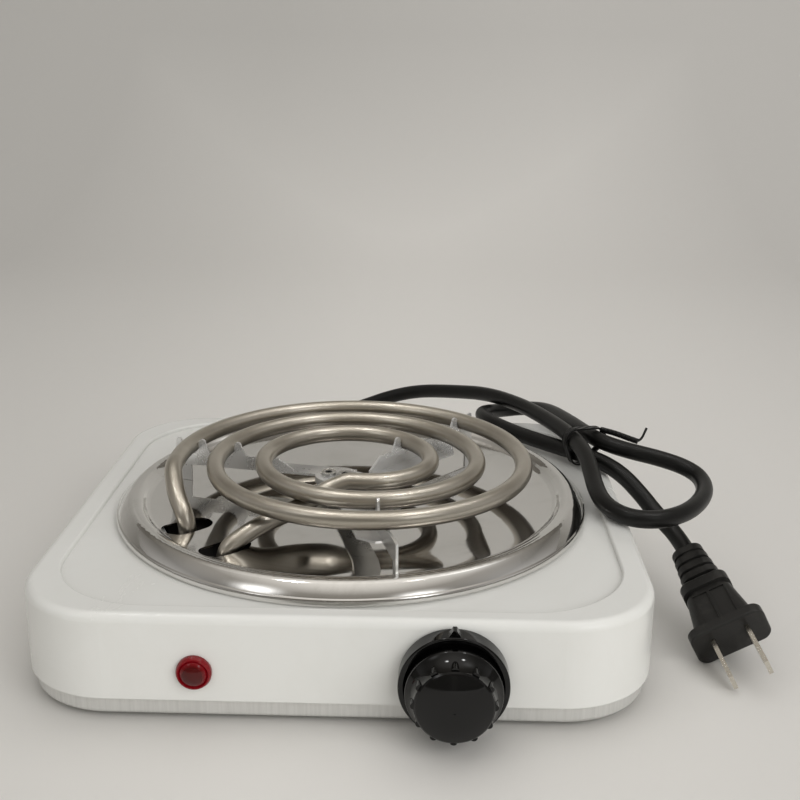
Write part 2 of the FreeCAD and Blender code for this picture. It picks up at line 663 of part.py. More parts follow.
def coil_ends():
    seals, pins = [], []
    for leg in ("outer", "inner"):
        seal_z = "body_top - leg_depth - seal_length"
        x, y = leg + "_leg_x", leg + "_leg_y"
        seals.append(rod(leg + "_seal", "tube_radius", "seal_length", x, y, seal_z))
        pins.append(rod(leg + "_pin", "pin_radius", "pin_length", x, y, f"{seal_z} - pin_length"))
    sub_part(group("seals", seals), "coil_end_seals")
    sub_part(group("pins", pins), "coil_terminal_pins")


def crossings(angle):
    # Distances from the coil's middle, inside out, at which an arm at this angle passes under the turns.
    a = math.radians(angle)
    found = []
    for x, radius in half_turns()[0 if angle > 0 else 1::2]:
        aside = x - size("coil_x")
        found.append(aside * math.cos(a) + math.sqrt(radius ** 2 - (aside * math.sin(a)) ** 2))
    return found[::-1]


# Which notches of each arm have a horn, counted from the inner turn, and on which side of the tube.
HORNS = {"front": ("outside", (1,)), "left": ("inside", (1, 2)), "right": ("inside", (0, 2))}


def blade_wire(side, low):
    # The upright blade of one arm, seen from its side: U-notches for the turns, some with a horn on one side.
    angle = size(side + "_arm_angle")
    along = Rotation(Vector(0, 0, 1), angle).multVec(Vector(1, 0, 0))
    top = size("body_top")
    z = top + size("coil_height")
    notch = size("tube_radius") + size("notch_play")
    horn_top = top + size("horn_top")
    horn_width, horn_slope = size("horn_width"), size("horn_slope")
    shelf = z - size("shelf_drop")
    lip = math.sqrt(notch ** 2 - size("shelf_drop") ** 2)
    reach, foot = size(side + "_arm_reach"), size("arm_foot_length")
    where, horned = HORNS[side]
    turns = crossings(angle)
    edges = []
    start, stub = size(side + "_blade_start"), low + 2 * size("arm_gauge")
    here = [Vector(start, 0, low)]

    def line_to(u, height):
        there = Vector(u, 0, height)
        edges.append(Part.LineSegment(here[0], there).toShape())
        here[0] = there

    def arc_to(u, height, middle, level):
        there = Vector(u, 0, height)
        edges.append(Part.Arc(here[0], Vector(middle, 0, level), there).toShape())
        here[0] = there

    def horn_from(u, width):
        line_to(u, horn_top - width / 2)
        arc_to(u + width, horn_top - width / 2, u + width / 2, horn_top)

    def foot_at(u):
        middle = Vector(size("coil_x"), size("coil_y"), 0)
        panel = top - size("panel_drop")
        line_to(u, panel + pan_height_at(middle + along * u) + size("foot_gap"))

    line_to(start, stub)
    line_to(start + size("blade_rise"), shelf)
    for k, radius in enumerate(turns):
        inside, outside = radius - lip, radius + lip
        before, after = shelf, shelf
        if k in horned and where == "inside":
            inside, before = radius - notch, z
            line_to(inside - horn_width - horn_slope, shelf)
            horn_from(inside - horn_width, horn_width)
        if k in horned and (where == "outside" or k == len(turns) - 1):
            outside, after = radius + notch, z
        line_to(inside, before)
        arc_to(outside, after, radius, z - notch)
        if after == z:
            horn_from(outside, 0.8 * horn_width)
            line_to(outside + 0.8 * horn_width + 0.2 * horn_slope, shelf)
    line_to(reach, shelf)
    foot_at(reach)
    foot_at(reach - foot)
    line_to(reach - foot, low)
    line_to(start, low)
    return Part.Wire(edges)


def hub_points():
    # The two rivets, beside each other along the left arm.
    a = math.radians(size("left_arm_angle"))
    hub = Vector(size("hub_x"), size("hub_y"), 0)
    step = Vector(math.cos(a), math.sin(a), 0) * (size("rivet_spacing") / 2)
    return hub, [hub - step, hub + step]


def spider_arm(side, level):
    angle = size(side + "_arm_angle")
    gauge = size("arm_gauge")
    low = size("body_top") + size("blade_low") + level * gauge
    blade = Part.Face(blade_wire(side, low)).extrude(Vector(0, -gauge, 0))
    width, reach = size("flange_width"), size("flange_reach")
    taper = 0.6 * width
    strip = [(0, 0), (reach, 0), (reach, -width + taper), (reach - taper, -width), (0, -width), (0, 0)]
    flange = Part.Face(Part.makePolygon([Vector(u, v, low) for u, v in strip])).extrude(Vector(0, 0, gauge))
    swing = Placement(Vector(size("coil_x"), size("coil_y"), 0), Rotation(Vector(0, 0, 1), angle))
    hub, rivets = hub_points()
    up = Vector(0, 0, 1)
    tongue = Part.makeCylinder(size("hub_radius"), gauge, hub + up * low)
    neck = Part.makeCylinder(0.8 * size("hub_radius"), gauge, swing.Base + up * low)
    arm = blade.fuse(flange).transformGeometry(swing.toMatrix()).fuse([tongue, neck])
    for place in rivets:
        hole = size("rivet_radius") + size("screw_play") / 2
        arm = arm.cut(Part.makeCylinder(hole, 3 * gauge, place + up * (low - gauge)))
    return sub_part(made("spider_arm_" + side, arm.removeSplitter()), "spider_arm_" + side)


def spider():
    for level, side in enumerate(("front", "right", "left")):
        spider_arm(side, level)
    _, places = hub_points()
    stack = 3 * size("arm_gauge")
    low = size("body_top") + size("blade_low")
    up = Vector(0, 0, 1)
    head = size("rivet_head_height")
    rivets = []
    for place in places:
        shank = Part.makeCylinder(size("rivet_radius"), stack, place + up * low)
        under = Part.makeCylinder(size("rivet_head_radius"), head, place + up * (low - head))
        over = Part.makeCylinder(size("rivet_head_radius"), head, place + up * (low + stack))
        bore = Part.makeCylinder(size("rivet_bore"), stack + 2 * head, place + up * (low - head))
        rivets.append(shank.fuse([under, over]).cut(bore).removeSplitter())
    sub_part(made("spider_rivets", Part.makeCompound(rivets)), "spider_rivets")


def crossbar_and_shield():
    half, foot, top, gauge = "bar_half_length", "bar_foot", "bar_top", "bar_gauge"
    right = [
        (f"{half} + {foot}", TRAY_FLOOR),
        (f"{half} + {foot}", f"{TRAY_FLOOR} + {gauge}"),
        (f"{half} + {gauge}", f"{TRAY_FLOOR} + {gauge}"),
        (f"{half} + {gauge}", top),
    ]
    under = [(half, f"{top} - {gauge}"), (half, TRAY_FLOOR)]
    left = [(f"-({px})", pz) for px, pz in right[::-1]]
    left_under = [(f"-({px})", pz) for px, pz in under[::-1]]
    bar = profile_bar("crossbar", right + left + left_under + under, "bar_width", "pan_y")
    hole_up(bar, "pan_screw_radius + screw_play", "pan_x", "pan_y", top, f"2 * {gauge}")
    feet = new_sketch(bar, "XY_Plane", f"{TRAY_FLOOR} + {gauge}")
    screws = []
    for side, name in ((-1, "left"), (1, "right")):
        x = f"{side} * ({BAR_SCREW_X})"
        circle(feet, "screw_radius + screw_play", x, "pan_y")
        screws.append(screw("bar_screw_" + name, "bar_screw_length", x, "pan_y", "foot_height"))
    pocket(bar, feet, f"2 * {gauge}")
    sub_part(bar, "crossbar")
    sub_part(group("bar_screw_set", screws), "crossbar_screws")
    shield = new_body("heat_shield")
    disc = circle(new_sketch(shield, "XY_Plane", top), "shield_radius", "pan_x", "pan_y")
    pad(shield, disc, "shield_gauge")
    holes = new_sketch(shield, "XY_Plane", f"{top} + shield_gauge")
    circle(holes, "pan_screw_radius + screw_play", "pan_x", "pan_y")
    for leg in ("outer", "inner"):
        circle(holes, "tube_radius + leg_play", leg + "_leg_x", leg + "_leg_y")
    pocket(shield, holes, "2 * shield_gauge")
    sub_part(shield, "heat_shield")


def pan_fixing():
    pan_under = f"{PANEL_Z} + pan_floor_height - pan_gauge"
    shield_top = "bar_top + shield_gauge"
    spacer = cut(
        "pan_spacer",
        rod("spacer_outer", "spacer_radius", f"{pan_under} - ({shield_top})"),
        rod("spacer_bore", "pan_screw_radius + screw_play", f"{pan_under} - ({shield_top})"))
    sub_part(spacer, "pan_spacer", "pan_x", "mid_y + pan_y", shield_top)
    nut_low = "bar_top - bar_gauge - pan_nut_height"
    shank = rod("pan_screw_shank", "pan_screw_radius", f"{pan_under} + pan_gauge - ({nut_low}) + 1", z="-1")
    head = turned("pan_screw_head", [
        ("0", f"{pan_under} + pan_gauge - ({nut_low})"),
        ("pan_screw_head_radius", f"{pan_under} + pan_gauge - ({nut_low})"),
        ("0.6 * pan_screw_head_radius", f"{pan_under} + pan_gauge - ({nut_low}) + pan_screw_head_height"),
        ("0", f"{pan_under} + pan_gauge - ({nut_low}) + pan_screw_head_height")])
    sub_part(fuse("pan_screw", [shank, head]), "pan_screw", "pan_x", "mid_y + pan_y", nut_low)
    hexagon = primitive(
        "Part::Prism", "nut_hexagon", Circumradius="pan_nut_width / sqrt(3)", Height="pan_nut_height")
    nut = cut("pan_nut", hexagon, rod("nut_bore", "pan_screw_radius + clip_play", "pan_nut_height"))
    sub_part(nut, "pan_nut", "pan_x", "mid_y + pan_y", nut_low)


# Pieces on the front wall are drawn about their own axis, with Z outwards, and turned to face the front.
WALL_BACK = "-shell_wall"
PLATE_BACK = "-(shell_wall + plate_gauge)"


def on_front(thing, label, x, z):
    return sub_part(thing, label, x, FRONT_Y, z, FACING_FRONT)


def control_knob():
    skirt_top = "knob_gap + skirt_height"
    skirt_face = f"{skirt_top} - skirt_recess"
    cap_low = f"{skirt_top} + neck_height"
    cap_top = f"{cap_low} + cap_height"
    hollow = f"{skirt_top} - skirt_recess - skirt_wall"
    profile = [
        ("boss_radius", "boss_setback"),
        ("boss_radius", hollow),
        ("skirt_radius - skirt_wall", hollow),
        ("skirt_radius - skirt_wall", "knob_gap"),
        ("skirt_radius", "knob_gap"),
        ("skirt_radius", skirt_top),
        ("skirt_radius - skirt_wall", skirt_top),
        ("skirt_radius - skirt_wall - skirt_recess", skirt_face),
        ("neck_radius", skirt_face),
        ("neck_radius", cap_low),
        ("cap_radius", cap_low),
        ("cap_radius", f"{cap_low} + cap_rim"),
        ("dome_radius", cap_top),
        ("dome_radius - dome_bevel", f"{cap_top} + dome_bevel"),
        ("0", f"{cap_top} + dome_height"),
        ("0", "shaft_front + bore_play"),
        ("shaft_radius + bore_play", "shaft_front + bore_play"),
        ("shaft_radius + bore_play", "boss_setback"),
    ]
    flare, flare_height = "(cap_radius - dome_radius)", "(cap_height - cap_rim)"
    flare_radius = f"({flare} ^ 2 + {flare_height} ^ 2) / (2 * {flare})"
    middles = {
        11: (f"dome_radius + {flare_radius}", cap_top),
        13: dome_middle("dome_radius - dome_bevel", "dome_height - dome_bevel", f"{cap_top} + dome_height"),
    }
    body = turned("control_knob", profile, middles)
    rounded(body, "skirt_round", ring_at("skirt_radius", skirt_top))
    rounded(body, "cap_round", ring_at("cap_radius"))
    rib = new_sketch(body, "XY_Plane", f"{cap_low} + 1.2 * cap_rim")
    circle(rib, "rib_radius", "0", "dome_radius - 0.1 * rib_radius")
    one_rib = pad(body, rib, "cap_height - 1.2 * cap_rim - dome_bevel")
    ribs = body.newObject("PartDesign::PolarPattern", "knob_ribs")
    ribs.Originals = [one_rib]
    ribs.Axis = (rib, ["N_Axis"])
    ribs.Angle = 360
    bind(ribs, "Occurrences", "rib_count")
    body.Tip = ribs
    doc.recompute()
    pointer = outline(new_sketch(body, "XY_Plane", f"{skirt_face} - skirt_height / 2"), [
        ("-pointer_width / 2", "skirt_radius - 0.7 * skirt_wall"),
        ("pointer_width / 2", "skirt_radius - 0.7 * skirt_wall"),
        ("0.12 * pointer_width", "pointer_reach"),
        ("-0.12 * pointer_width", "pointer_reach"),
    ])
    pad(body, pointer, "skirt_height / 2")
    notch = new_sketch(body, "XY_Plane", f"{cap_low} + cap_rim")
    rectangle(notch, "notch_width", "2 * notch_depth", y="cap_radius")
    pocket(body, notch, "cap_rim")
    on_front(body, "control_knob", "knob_x", "axis_height")


def thermostat_shaft():
    length = "shaft_back + shaft_front"
    shaft = rod("shaft_round", "shaft_radius", length, z="-shaft_back")
    flat = block("shaft_flat_cut", "2 * shaft_radius", "shaft_radius", "shaft_front - boss_setback",
                 y="shaft_flat + shaft_radius / 2", z="boss_setback")
    on_front(cut("thermostat_shaft", shaft, flat), "thermostat_shaft", "knob_x", "axis_height")
    clip_low = "boss_setback + clip_setback"
    outer = rod("clip_outer", "boss_radius + clip_play + clip_gauge", "clip_length", z=clip_low)
    inner = rod("clip_inner", "boss_radius + clip_play", "clip_length", z=clip_low)
    gap = block(
        "clip_gap_cut", "clip_gap", "3 * boss_radius", "clip_length", y="-1.5 * boss_radius", z=clip_low)
    clip = cut("knob_spring_clip", outer, fuse("clip_hollow", [inner, gap]))
    on_front(clip, "knob_spring_clip", "knob_x", "axis_height")


def thermostat():
    plate = new_body("thermostat_plate")
    plate_outline = rectangle(new_sketch(plate, "XY_Plane", PLATE_BACK), "plate_width", "plate_height")
    pad(plate, plate_outline, "plate_gauge")
    holes = circle(new_sketch(plate, "XY_Plane", WALL_BACK), "bush_radius + bush_play")
    screws = []
    for side, name in ((-1, "left"), (1, "right")):
        x = f"{side} * stat_spacing / 2"
        circle(holes, "screw_radius + screw_play", x)
        shank = rod(
            f"stat_screw_{name}_shank", "screw_radius", "stat_screw_length", x, z="-stat_screw_length")
        head = rod(f"stat_screw_{name}_head", "0.8 * screw_head_radius", "screw_head_height", x)
        screws.append(fuse(f"stat_screw_{name}", [shank, head]))
    pocket(plate, holes, "2 * plate_gauge")
    on_front(plate, "thermostat_plate", "knob_x", "axis_height")
    on_front(group("stat_screws", screws), "thermostat_screws", "knob_x", "axis_height")

    bush_back = f"{PLATE_BACK} - 0.4 * stat_depth"
    bush = cut(
        "thermostat_bush",
        rod("bush_outer", "bush_radius", f"bush_proud - ({bush_back})", z=bush_back),
        rod("bush_bore", "shaft_radius + shaft_play", f"bush_proud - ({bush_back})", z=bush_back))
    on_front(bush, "thermostat_bush", "knob_x", "axis_height")

    core = new_body("thermostat_body")
    stat_back = f"{PLATE_BACK} - stat_depth"
    pad(core, rectangle(new_sketch(core, "XY_Plane", stat_back), "stat_width", "stat_height"), "stat_depth")
    rounded(core, "0.1 * stat_height", upright)
    bores = circle(new_sketch(core, "XY_Plane", PLATE_BACK), "bush_radius + clip_play")
    for side in (-1, 1):
        circle(bores, "screw_radius + screw_play", f"{side} * stat_spacing / 2")
    pocket(core, bores, "0.4 * stat_depth")
    bore = circle(new_sketch(core, "XY_Plane", stat_back), "shaft_radius + 4 * bore_play")
    pocket(core, bore, "stat_depth")
    on_front(core, "thermostat_body", "knob_x", "axis_height")

    tabs = []
    for side, name in ((-1, "left"), (1, "right")):
        tabs.append(block(
            f"stat_tab_{name}", "tab_gauge", "tab_width", "tab_length",
            f"{side} * (tab_spacing / 2 + tab_gauge)", z=f"{stat_back} - tab_length"))
    on_front(group("stat_tabs", tabs), "thermostat_terminals", "knob_x", "axis_height")

    leaf_low = "stat_height / 2"
    fixed_leaf = block("fixed_leaf", "leaf_width", "leaf_gauge", "0.8 * stat_depth",
                       y=f"{leaf_low} + leaf_gauge / 2", z=f"{PLATE_BACK} - 0.9 * stat_depth")
    stack = block("leaf_stack", "leaf_width", "4 * leaf_gauge", "0.25 * stat_depth",
                  y=f"{leaf_low} + 2.5 * leaf_gauge", z=f"{PLATE_BACK} - 0.9 * stat_depth")
    moving_leaf = block("moving_leaf", "leaf_width", "leaf_gauge", "0.8 * stat_depth",
                        y=f"{leaf_low} + 4.5 * leaf_gauge", z=f"{PLATE_BACK} - 0.9 * stat_depth")
    leaves = fuse("thermostat_leaves", [fixed_leaf, stack, moving_leaf])
    on_front(leaves, "thermostat_leaves", "knob_x", "axis_height")


def indicator():
    disc, disc_rise = "(lens_radius - 1.8 * lens_ring)", "0.6 * lens_dome"
    lens_top = "lens_flange + lens_dome"
    lens = turned("indicator_lens", [
        ("0", "0.3 * lens_flange"),
        ("barrel_bore", "0"),
        ("barrel_bore", "-barrel_length"),
        ("barrel_radius", "-barrel_length"),
        ("barrel_radius", "0"),
        ("lens_radius", "0"),
        ("lens_radius", "lens_flange"),
        ("lens_radius - 0.5 * lens_ring", "lens_flange + 0.35 * lens_dome"),
        ("lens_radius - lens_ring", "lens_flange + 0.4 * lens_dome"),
        ("lens_radius - 1.4 * lens_ring", "lens_flange + 0.2 * lens_dome"),
        (disc, f"{lens_top} - {disc_rise}"),
        ("0", lens_top),
    ], {10: dome_middle(disc, disc_rise, lens_top)})
    on_front(lens, "indicator_lens", "lens_x", "lens_height")
    lamp = turned("indicator_lamp", [
        ("0", "-1"),
        ("0.6 * lamp_radius", "-1.3"),
        ("lamp_radius", "-1 - 0.3 * lamp_length"),
        ("lamp_radius", "-1 - lamp_length"),
        ("0", "-1 - lamp_length"),
    ])
    on_front(lamp, "indicator_lamp", "lens_x", "lens_height")
    nut_low = f"{WALL_BACK} - push_nut_gauge"
    push_nut = cut(
        "lamp_push_nut",
        rod("push_nut_outer", "push_nut_radius", "push_nut_gauge", z=nut_low),
        rod("push_nut_bore", "barrel_radius + clip_play", "push_nut_gauge", z=nut_low))
    on_front(push_nut, "lamp_push_nut", "lens_x", "lens_height")


FACING_BACK = Rotation(Vector(1, 0, 0), -90)
BACK_Y = "mid_y + body_depth / 2"


def lead_inside():
    gland = turned("cord_gland", [
        ("0", "-shell_wall - gland_inner"),
        ("gland_radius - 1", "-shell_wall - gland_inner"),
        ("gland_radius - 1", "-shell_wall"),
        ("gland_neck", "-shell_wall"),
        ("gland_neck", "0"),
        ("gland_radius", "0"),
        ("gland_radius", "gland_flange"),
        ("gland_neck", "1.6 * gland_flange"),
        ("gland_tip_radius", "gland_length"),
        ("0", "gland_length"),
    ])
    sub_part(gland, "cord_gland", "gland_x", BACK_Y, "gland_height", FACING_BACK)
    stub_front = "body_depth / 2 - shell_wall - gland_inner - stub_length"
    stub = rod("inner_lead", "cord_radius", "stub_length")
    sub_part(stub, "inner_lead", "gland_x", f"mid_y + {stub_front}", "gland_height", FACING_BACK)
    clamp = new_body("cord_clamp")
    clamp_outline = rectangle(new_sketch(clamp, "XY_Plane", TRAY_FLOOR), "clamp_width", "clamp_depth")
    pad(clamp, clamp_outline, f"clamp_top - ({TRAY_FLOOR})")
    rounded(clamp, "0.1 * clamp_depth", upright)
    channel = circle(new_sketch(clamp, "XZ_Plane"), "cord_radius + clamp_play", "0", "gland_height")
    passage = pocket(clamp, channel, "2 * clamp_depth")
    passage.SideType = "Symmetric"
    doc.recompute()
    wells = new_sketch(clamp, "XY_Plane", TRAY_FLOOR)
    screws = []
    for side, name in ((-1, "left"), (1, "right")):
        circle(wells, "screw_radius + screw_play / 2", f"{side} * {CLAMP_SCREW_X}")
        x = f"gland_x + {side} * {CLAMP_SCREW_X}"
        screws.append(screw("clamp_screw_" + name, "bar_screw_length", x, CLAMP_Y, "foot_height"))
    pocket(clamp, wells, "bar_screw_length + 1")
    sub_part(clamp, "cord_clamp", "gland_x", f"mid_y + {CLAMP_Y}")
    sub_part(group("clamp_screw_set", screws), "cord_clamp_screws")

    cores, block_screws = [], []
    block_body = new_body("terminal_block")
    pad(block_body, rectangle(new_sketch(block_body, "XY_Plane", TRAY_FLOOR), "block_width", "block_depth"),
        f"block_top - ({TRAY_FLOOR})")
    rounded(block_body, "0.1 * block_depth", upright)
    block_wells = new_sketch(block_body, "XY_Plane", "block_top")
    for side, name in ((-1, "live"), (1, "neutral")):
        core = rod("core_" + name, "core_radius", "core_length", f"{side} * core_spacing / 2")
        cores.append(core)
        circle(block_wells, "block_screw_radius + clip_play", f"{side} * block_width / 4")
        block_screws.append(rod(
            "block_screw_" + name, "block_screw_radius", "0.8 * block_screw_depth",
            f"{side} * block_width / 4", z="block_top - block_screw_depth"))
    pocket(block_body, block_wells, "block_screw_depth")
    block_y = f"mid_y + {BLOCK_BACK} - block_depth / 2"
    sub_part(block_body, "terminal_block", "gland_x", block_y)
    sub_part(group("block_screw_set", block_screws), "terminal_block_screws", "gland_x", block_y)
    core_y = f"mid_y + {BLOCK_BACK}"
    sub_part(group("core_set", cores), "lead_cores", "gland_x", core_y, "gland_height", FACING_BACK)


# Where each sleeved wire passes on the tray's floor between its two terminals.
WIRE_ROUTES = {
    "wire_neutral": [(-64, -8, 7), (-62, 18, 9)],
    "wire_heater": [(-14, -50, 7), (12, -48, 9)],
    "wire_live": [(40, -24, 12), (12, 14, 9)],
}


def inner_wires():
    # From the terminal block to the thermostat and to the coil's two pins.
    block_front = size("body_depth") / 2 - size("shell_wall") - size("gland_inner") - size("stub_length")
    block_front -= size("core_length") + size("block_depth")
    pin_low = size("body_top") - size("leg_depth") - size("seal_length") - size("pin_length")
    outer, inner = [Vector(size(leg + "_leg_x"), size(leg + "_leg_y"), pin_low) for leg in ("outer", "inner")]
    tab_y = size("shell_wall") + size("plate_gauge") + size("stat_depth") + size("tab_length")
    tab_y -= size("body_depth") / 2
    tab_step = size("tab_spacing") / 2 + size("tab_gauge")
    tab_xs = [size("knob_x") + side * tab_step for side in (-1, 1)]
    left_tab, right_tab = [Vector(x, tab_y, size("axis_height")) for x in tab_xs]
    pole_xs = [size("gland_x") + side * size("block_width") / 4 for side in (-1, 1)]
    neutral, live = [Vector(x, block_front, size("wire_height")) for x in pole_xs]
    drop = Vector(0, 0, size("wire_drop"))
    out = Vector(0, size("wire_run_out"), 0)
    ends = {
        "wire_neutral": ([outer, outer - drop], [neutral - out, neutral]),
        "wire_heater": ([inner, inner - drop], [left_tab + out, left_tab]),
        "wire_live": ([right_tab, right_tab + out], [live - out, live]),
    }
    for name, (start, stop) in ends.items():
        edges, _ = routed_path(start + [Vector(*place) for place in WIRE_ROUTES[name]] + stop)
        shape, _ = tube_along(edges, size("wire_radius"))
        sub_part(made(name, shape), name)


def plug_turn():
    # Lying at the end of the lead: blades towards the front, nose down, rolled on one edge of its flange.
    roll = Rotation(Vector(0, 0, 1), size("plug_roll"))
    pitch = Rotation(Vector(1, 0, 0), -size("plug_pitch"))
    yaw = Rotation(Vector(0, 0, 1), size("plug_yaw"))
    return yaw * pitch * FACING_FRONT * roll


GRIP_BACK = "-(flange_deep + grip_length)"
COLLAR_BACK = f"{GRIP_BACK} - neck_length - collar_length"


def plug_back():
    rings = int(size("relief_rings"))
    relief = rings * (size("relief_ring") + size("relief_groove"))
    return relief - amount(COLLAR_BACK)


def plug():
    body = new_body("plug_body")

    def slab(back, span, thick, radius, length):
        return pad(body, rounded_rectangle(new_sketch(body, "XY_Plane", back), span, thick, radius), length)

    slab("-flange_deep", "flange_span", "flange_thick", "flange_round", "flange_deep")
    rounded(body, "flange_edge", level_at(0))
    front = rounded_rectangle(
        new_sketch(body, "XY_Plane", "-flange_deep"), "grip_span", "grip_thick", "grip_round")
    back = rounded_rectangle(
        new_sketch(body, "XY_Plane", GRIP_BACK), "grip_back_span", "grip_back_thick", "grip_round")
    grip = body.newObject("PartDesign::AdditiveLoft", "plug_grip")
    grip.Profile = front
    grip.Sections = [back]
    grip.Ruled = True
    doc.recompute()
    for way in (-1, 1):
        panels = new_sketch(body, "XZ_Plane", f"{way} * grip_thick / 2")
        for side in (-1, 1):
            x = f"{side} * (panel_width + panel_ridge) / 2"
            rectangle(panels, "panel_width", "panel_length", x, f"({GRIP_BACK} - flange_deep) / 2")
        pocket(body, panels, "panel_depth")
    slab(f"{GRIP_BACK} - neck_length", "neck_span", "neck_thick", "grip_round", "neck_length")
    slab(COLLAR_BACK, "collar_span", "collar_thick", "flange_round", "collar_length")
    rounded(body, "collar_round", level_at(amount(COLLAR_BACK)))
    rings = int(size("relief_rings"))
    pitch = "(relief_ring + relief_groove)"
    slab(f"{COLLAR_BACK} - {rings} * {pitch}", "1.15 * relief_core", "relief_core", "0.48 * relief_core",
         f"{rings} * {pitch}")
    for k in range(rings):
        share = f"{k} / {rings - 1}"
        slab(f"{COLLAR_BACK} - {k + 1} * {pitch}",
             f"relief_span - {share} * (relief_span - relief_tip_span)",
             f"relief_thick - {share} * (relief_thick - relief_tip_thick)", "flange_round", "relief_ring")
    sub_part(body, "plug_body", "plug_x", "mid_y + plug_y", "plug_z", plug_turn())
    blades = []
    for side, name in ((-1, "left"), (1, "right")):
        x = f"{side} * blade_spacing / 2"
        blade = block("blade_" + name, "blade_gauge", "blade_width", "blade_length", x)
        hole = rod("blade_hole_" + name, "blade_hole_radius", "2 * blade_gauge", f"{x} - blade_gauge",
                   z="blade_length - blade_hole_setback")
        hole.Placement = Placement(hole.Placement.Base, Rotation(Vector(0, 1, 0), 90))
        blades.append(cut("plug_blade_" + name, blade, hole))
    pair = group("plug_blade_set", blades)
    sub_part(pair, "plug_blades", "plug_x", "mid_y + plug_y", "plug_z", plug_turn())


# The lead from its gland to its plug, as it lies: behind the body, over its rear corner and back on itself.
LEAD_ROUTE = [
    (-48, 138, 18), (-39, 150, 18), (-24, 157, 20), (-6, 158.5, 26), (10, 155.5, 33), (25, 150.5, 37.5),
    (42, 135, 42), (58, 118, 46.2), (72.5, 94.5, 48), (82.5, 70.5, 48.8), (90, 48.5, 49.2),
    (94, 29, 48.2), (94.5, 14, 45.6), (94.7, 1, 43.4), (96, -11, 42.2), (100.5, -21, 41.8),
    (108, -25.5, 41.6), (118.5, -23, 41.2), (130, -11.5, 40.4), (139, 6.5, 40), (140.5, 21, 40.8),
    (135.5, 28.5, 42.7), (125, 32, 45.2), (113, 34.5, 47.2), (103.5, 40.5, 48.4), (98, 53.5, 48),
    (92.5, 79, 45.6), (86, 106, 42.4), (76.5, 121, 38.3), (64, 119.5, 37.2), (53.5, 104, 41),
    (56.5, 88.5, 42), (67, 73.5, 41.8), (79, 59.5, 41.9), (90.5, 48, 42.1), (101.5, 35.5, 42.3),
    (109, 25, 40.4), (115.5, 17.5, 35), (121, 9, 29.4),
]


def power_cord():
    start = Vector(size("gland_x"), size("body_depth") / 2 + size("gland_length"), size("gland_height"))
    back = plug_turn().multVec(Vector(0, 0, -1))
    stop = Vector(size("plug_x"), size("plug_y"), size("plug_z")) + back * plug_back()
    into_plug = stop + back * size("plug_lead_in")
    points = [start] + [Vector(*place) for place in LEAD_ROUTE] + [into_plug, stop]
    edges, radii = routed_path(points)
    shape, path = tube_along(edges, size("cord_radius"))
    expected = math.pi * size("cord_radius") ** 2 * path.Length
    print("lead radii", " ".join(f"{r:.0f}" for r in radii))
    print(f"lead length {path.Length:.0f}, volume {shape.Volume:.0f}, section times length {expected:.0f}")
    sub_part(made("power_cord", shape), "power_cord")
    return path


# The tie's twisted ends from its knot, and the wire that stands free beyond them.
TIE_TAIL = [(5, -5, 0.2), (10.5, -8.8, -0.8), (14, -10.2, -1.6)]
TIE_END = [(15.8, -9.4, -0.2), (17.8, -7.2, 3.4)]


def twist_tie(path):
    # A band round the three strands that lie side by side, square to their mean way, and its twisted ends.
    place = Placement(Vector(size("tie_x"), size("tie_y"), 0), Rotation(Vector(0, 0, 1), size("tie_turn")))
    span, height = size("tie_span"), 2 * size("body_top")
    corners = [(-span, 0), (span, 0), (span, height), (-span, height), (-span, 0)]
    window = Part.Face(Part.makePolygon([place.multVec(Vector(x, 0, z)) for x, z in corners]))
    strands = [v.Point for v in path.section(window).Vertexes]
    middle = sum(strands, Vector()) * (1 / len(strands))
    sideways = place.Rotation.multVec(Vector(1, 0, 0))
    strands.sort(key=lambda p: math.atan2(p.z - middle.z, (p - middle).dot(sideways)))
    core = Part.makePolygon(strands + [strands[0]])
    inner = core.makeOffset2D(size("cord_radius") + size("tie_play"))
    outer = core.makeOffset2D(size("cord_radius") + size("tie_play") + size("tie_gauge"))
    along = place.Rotation.multVec(Vector(0, size("tie_width"), 0))
    band = Part.Face(outer).extrude(along).cut(Part.Face(inner).extrude(along))
    band.translate(along * -0.5)
    highest = max(strands, key=lambda p: p.x + p.z)
    lift = (size("cord_radius") + size("tie_play") + size("tie_gauge") / 2) / math.sqrt(2)
    knot = highest + sideways * lift + Vector(0, 0, lift)
    edges, _ = routed_path([knot] + [knot + Vector(*step) for step in TIE_TAIL])
    twisted, _ = tube_along(edges, size("tie_tail_radius"))
    free_edges, _ = routed_path([knot + Vector(*step) for step in TIE_TAIL[-2:] + TIE_END])
    free_end, _ = tube_along(free_edges, size("tie_end_radius"))
    print(len(strands), "strands in the tie")
    sub_part(made("twist_tie", band.fuse([twisted, free_end]).removeSplitter()), "twist_tie")


body_shell()
base_tray()
feet_and_brackets()
drip_pan()
heating_coil()
coil_ends()
spider()
crossbar_and_shield()
pan_fixing()
control_knob()
thermostat_shaft()
thermostat()
indicator()
lead_inside()
inner_wires()
plug()
twist_tie(power_cord())
doc.recompute()

failed = [thing.Label for thing in doc.Objects if {"Invalid", "Error"} & set(thing.State)]
for node in nodes:
    if node.Shape.isNull() or not node.Shape.isValid() or not node.Shape.Solids:
        failed.append(node.Label)
if failed:
    raise RuntimeError("not built: " + ", ".join(failed))
os.makedirs("parts", exist_ok=True)
for node in nodes:
    node.Shape.exportStep(f"parts/{node.Label}.step")
print(len(nodes), "sub-parts written")
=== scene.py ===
import math

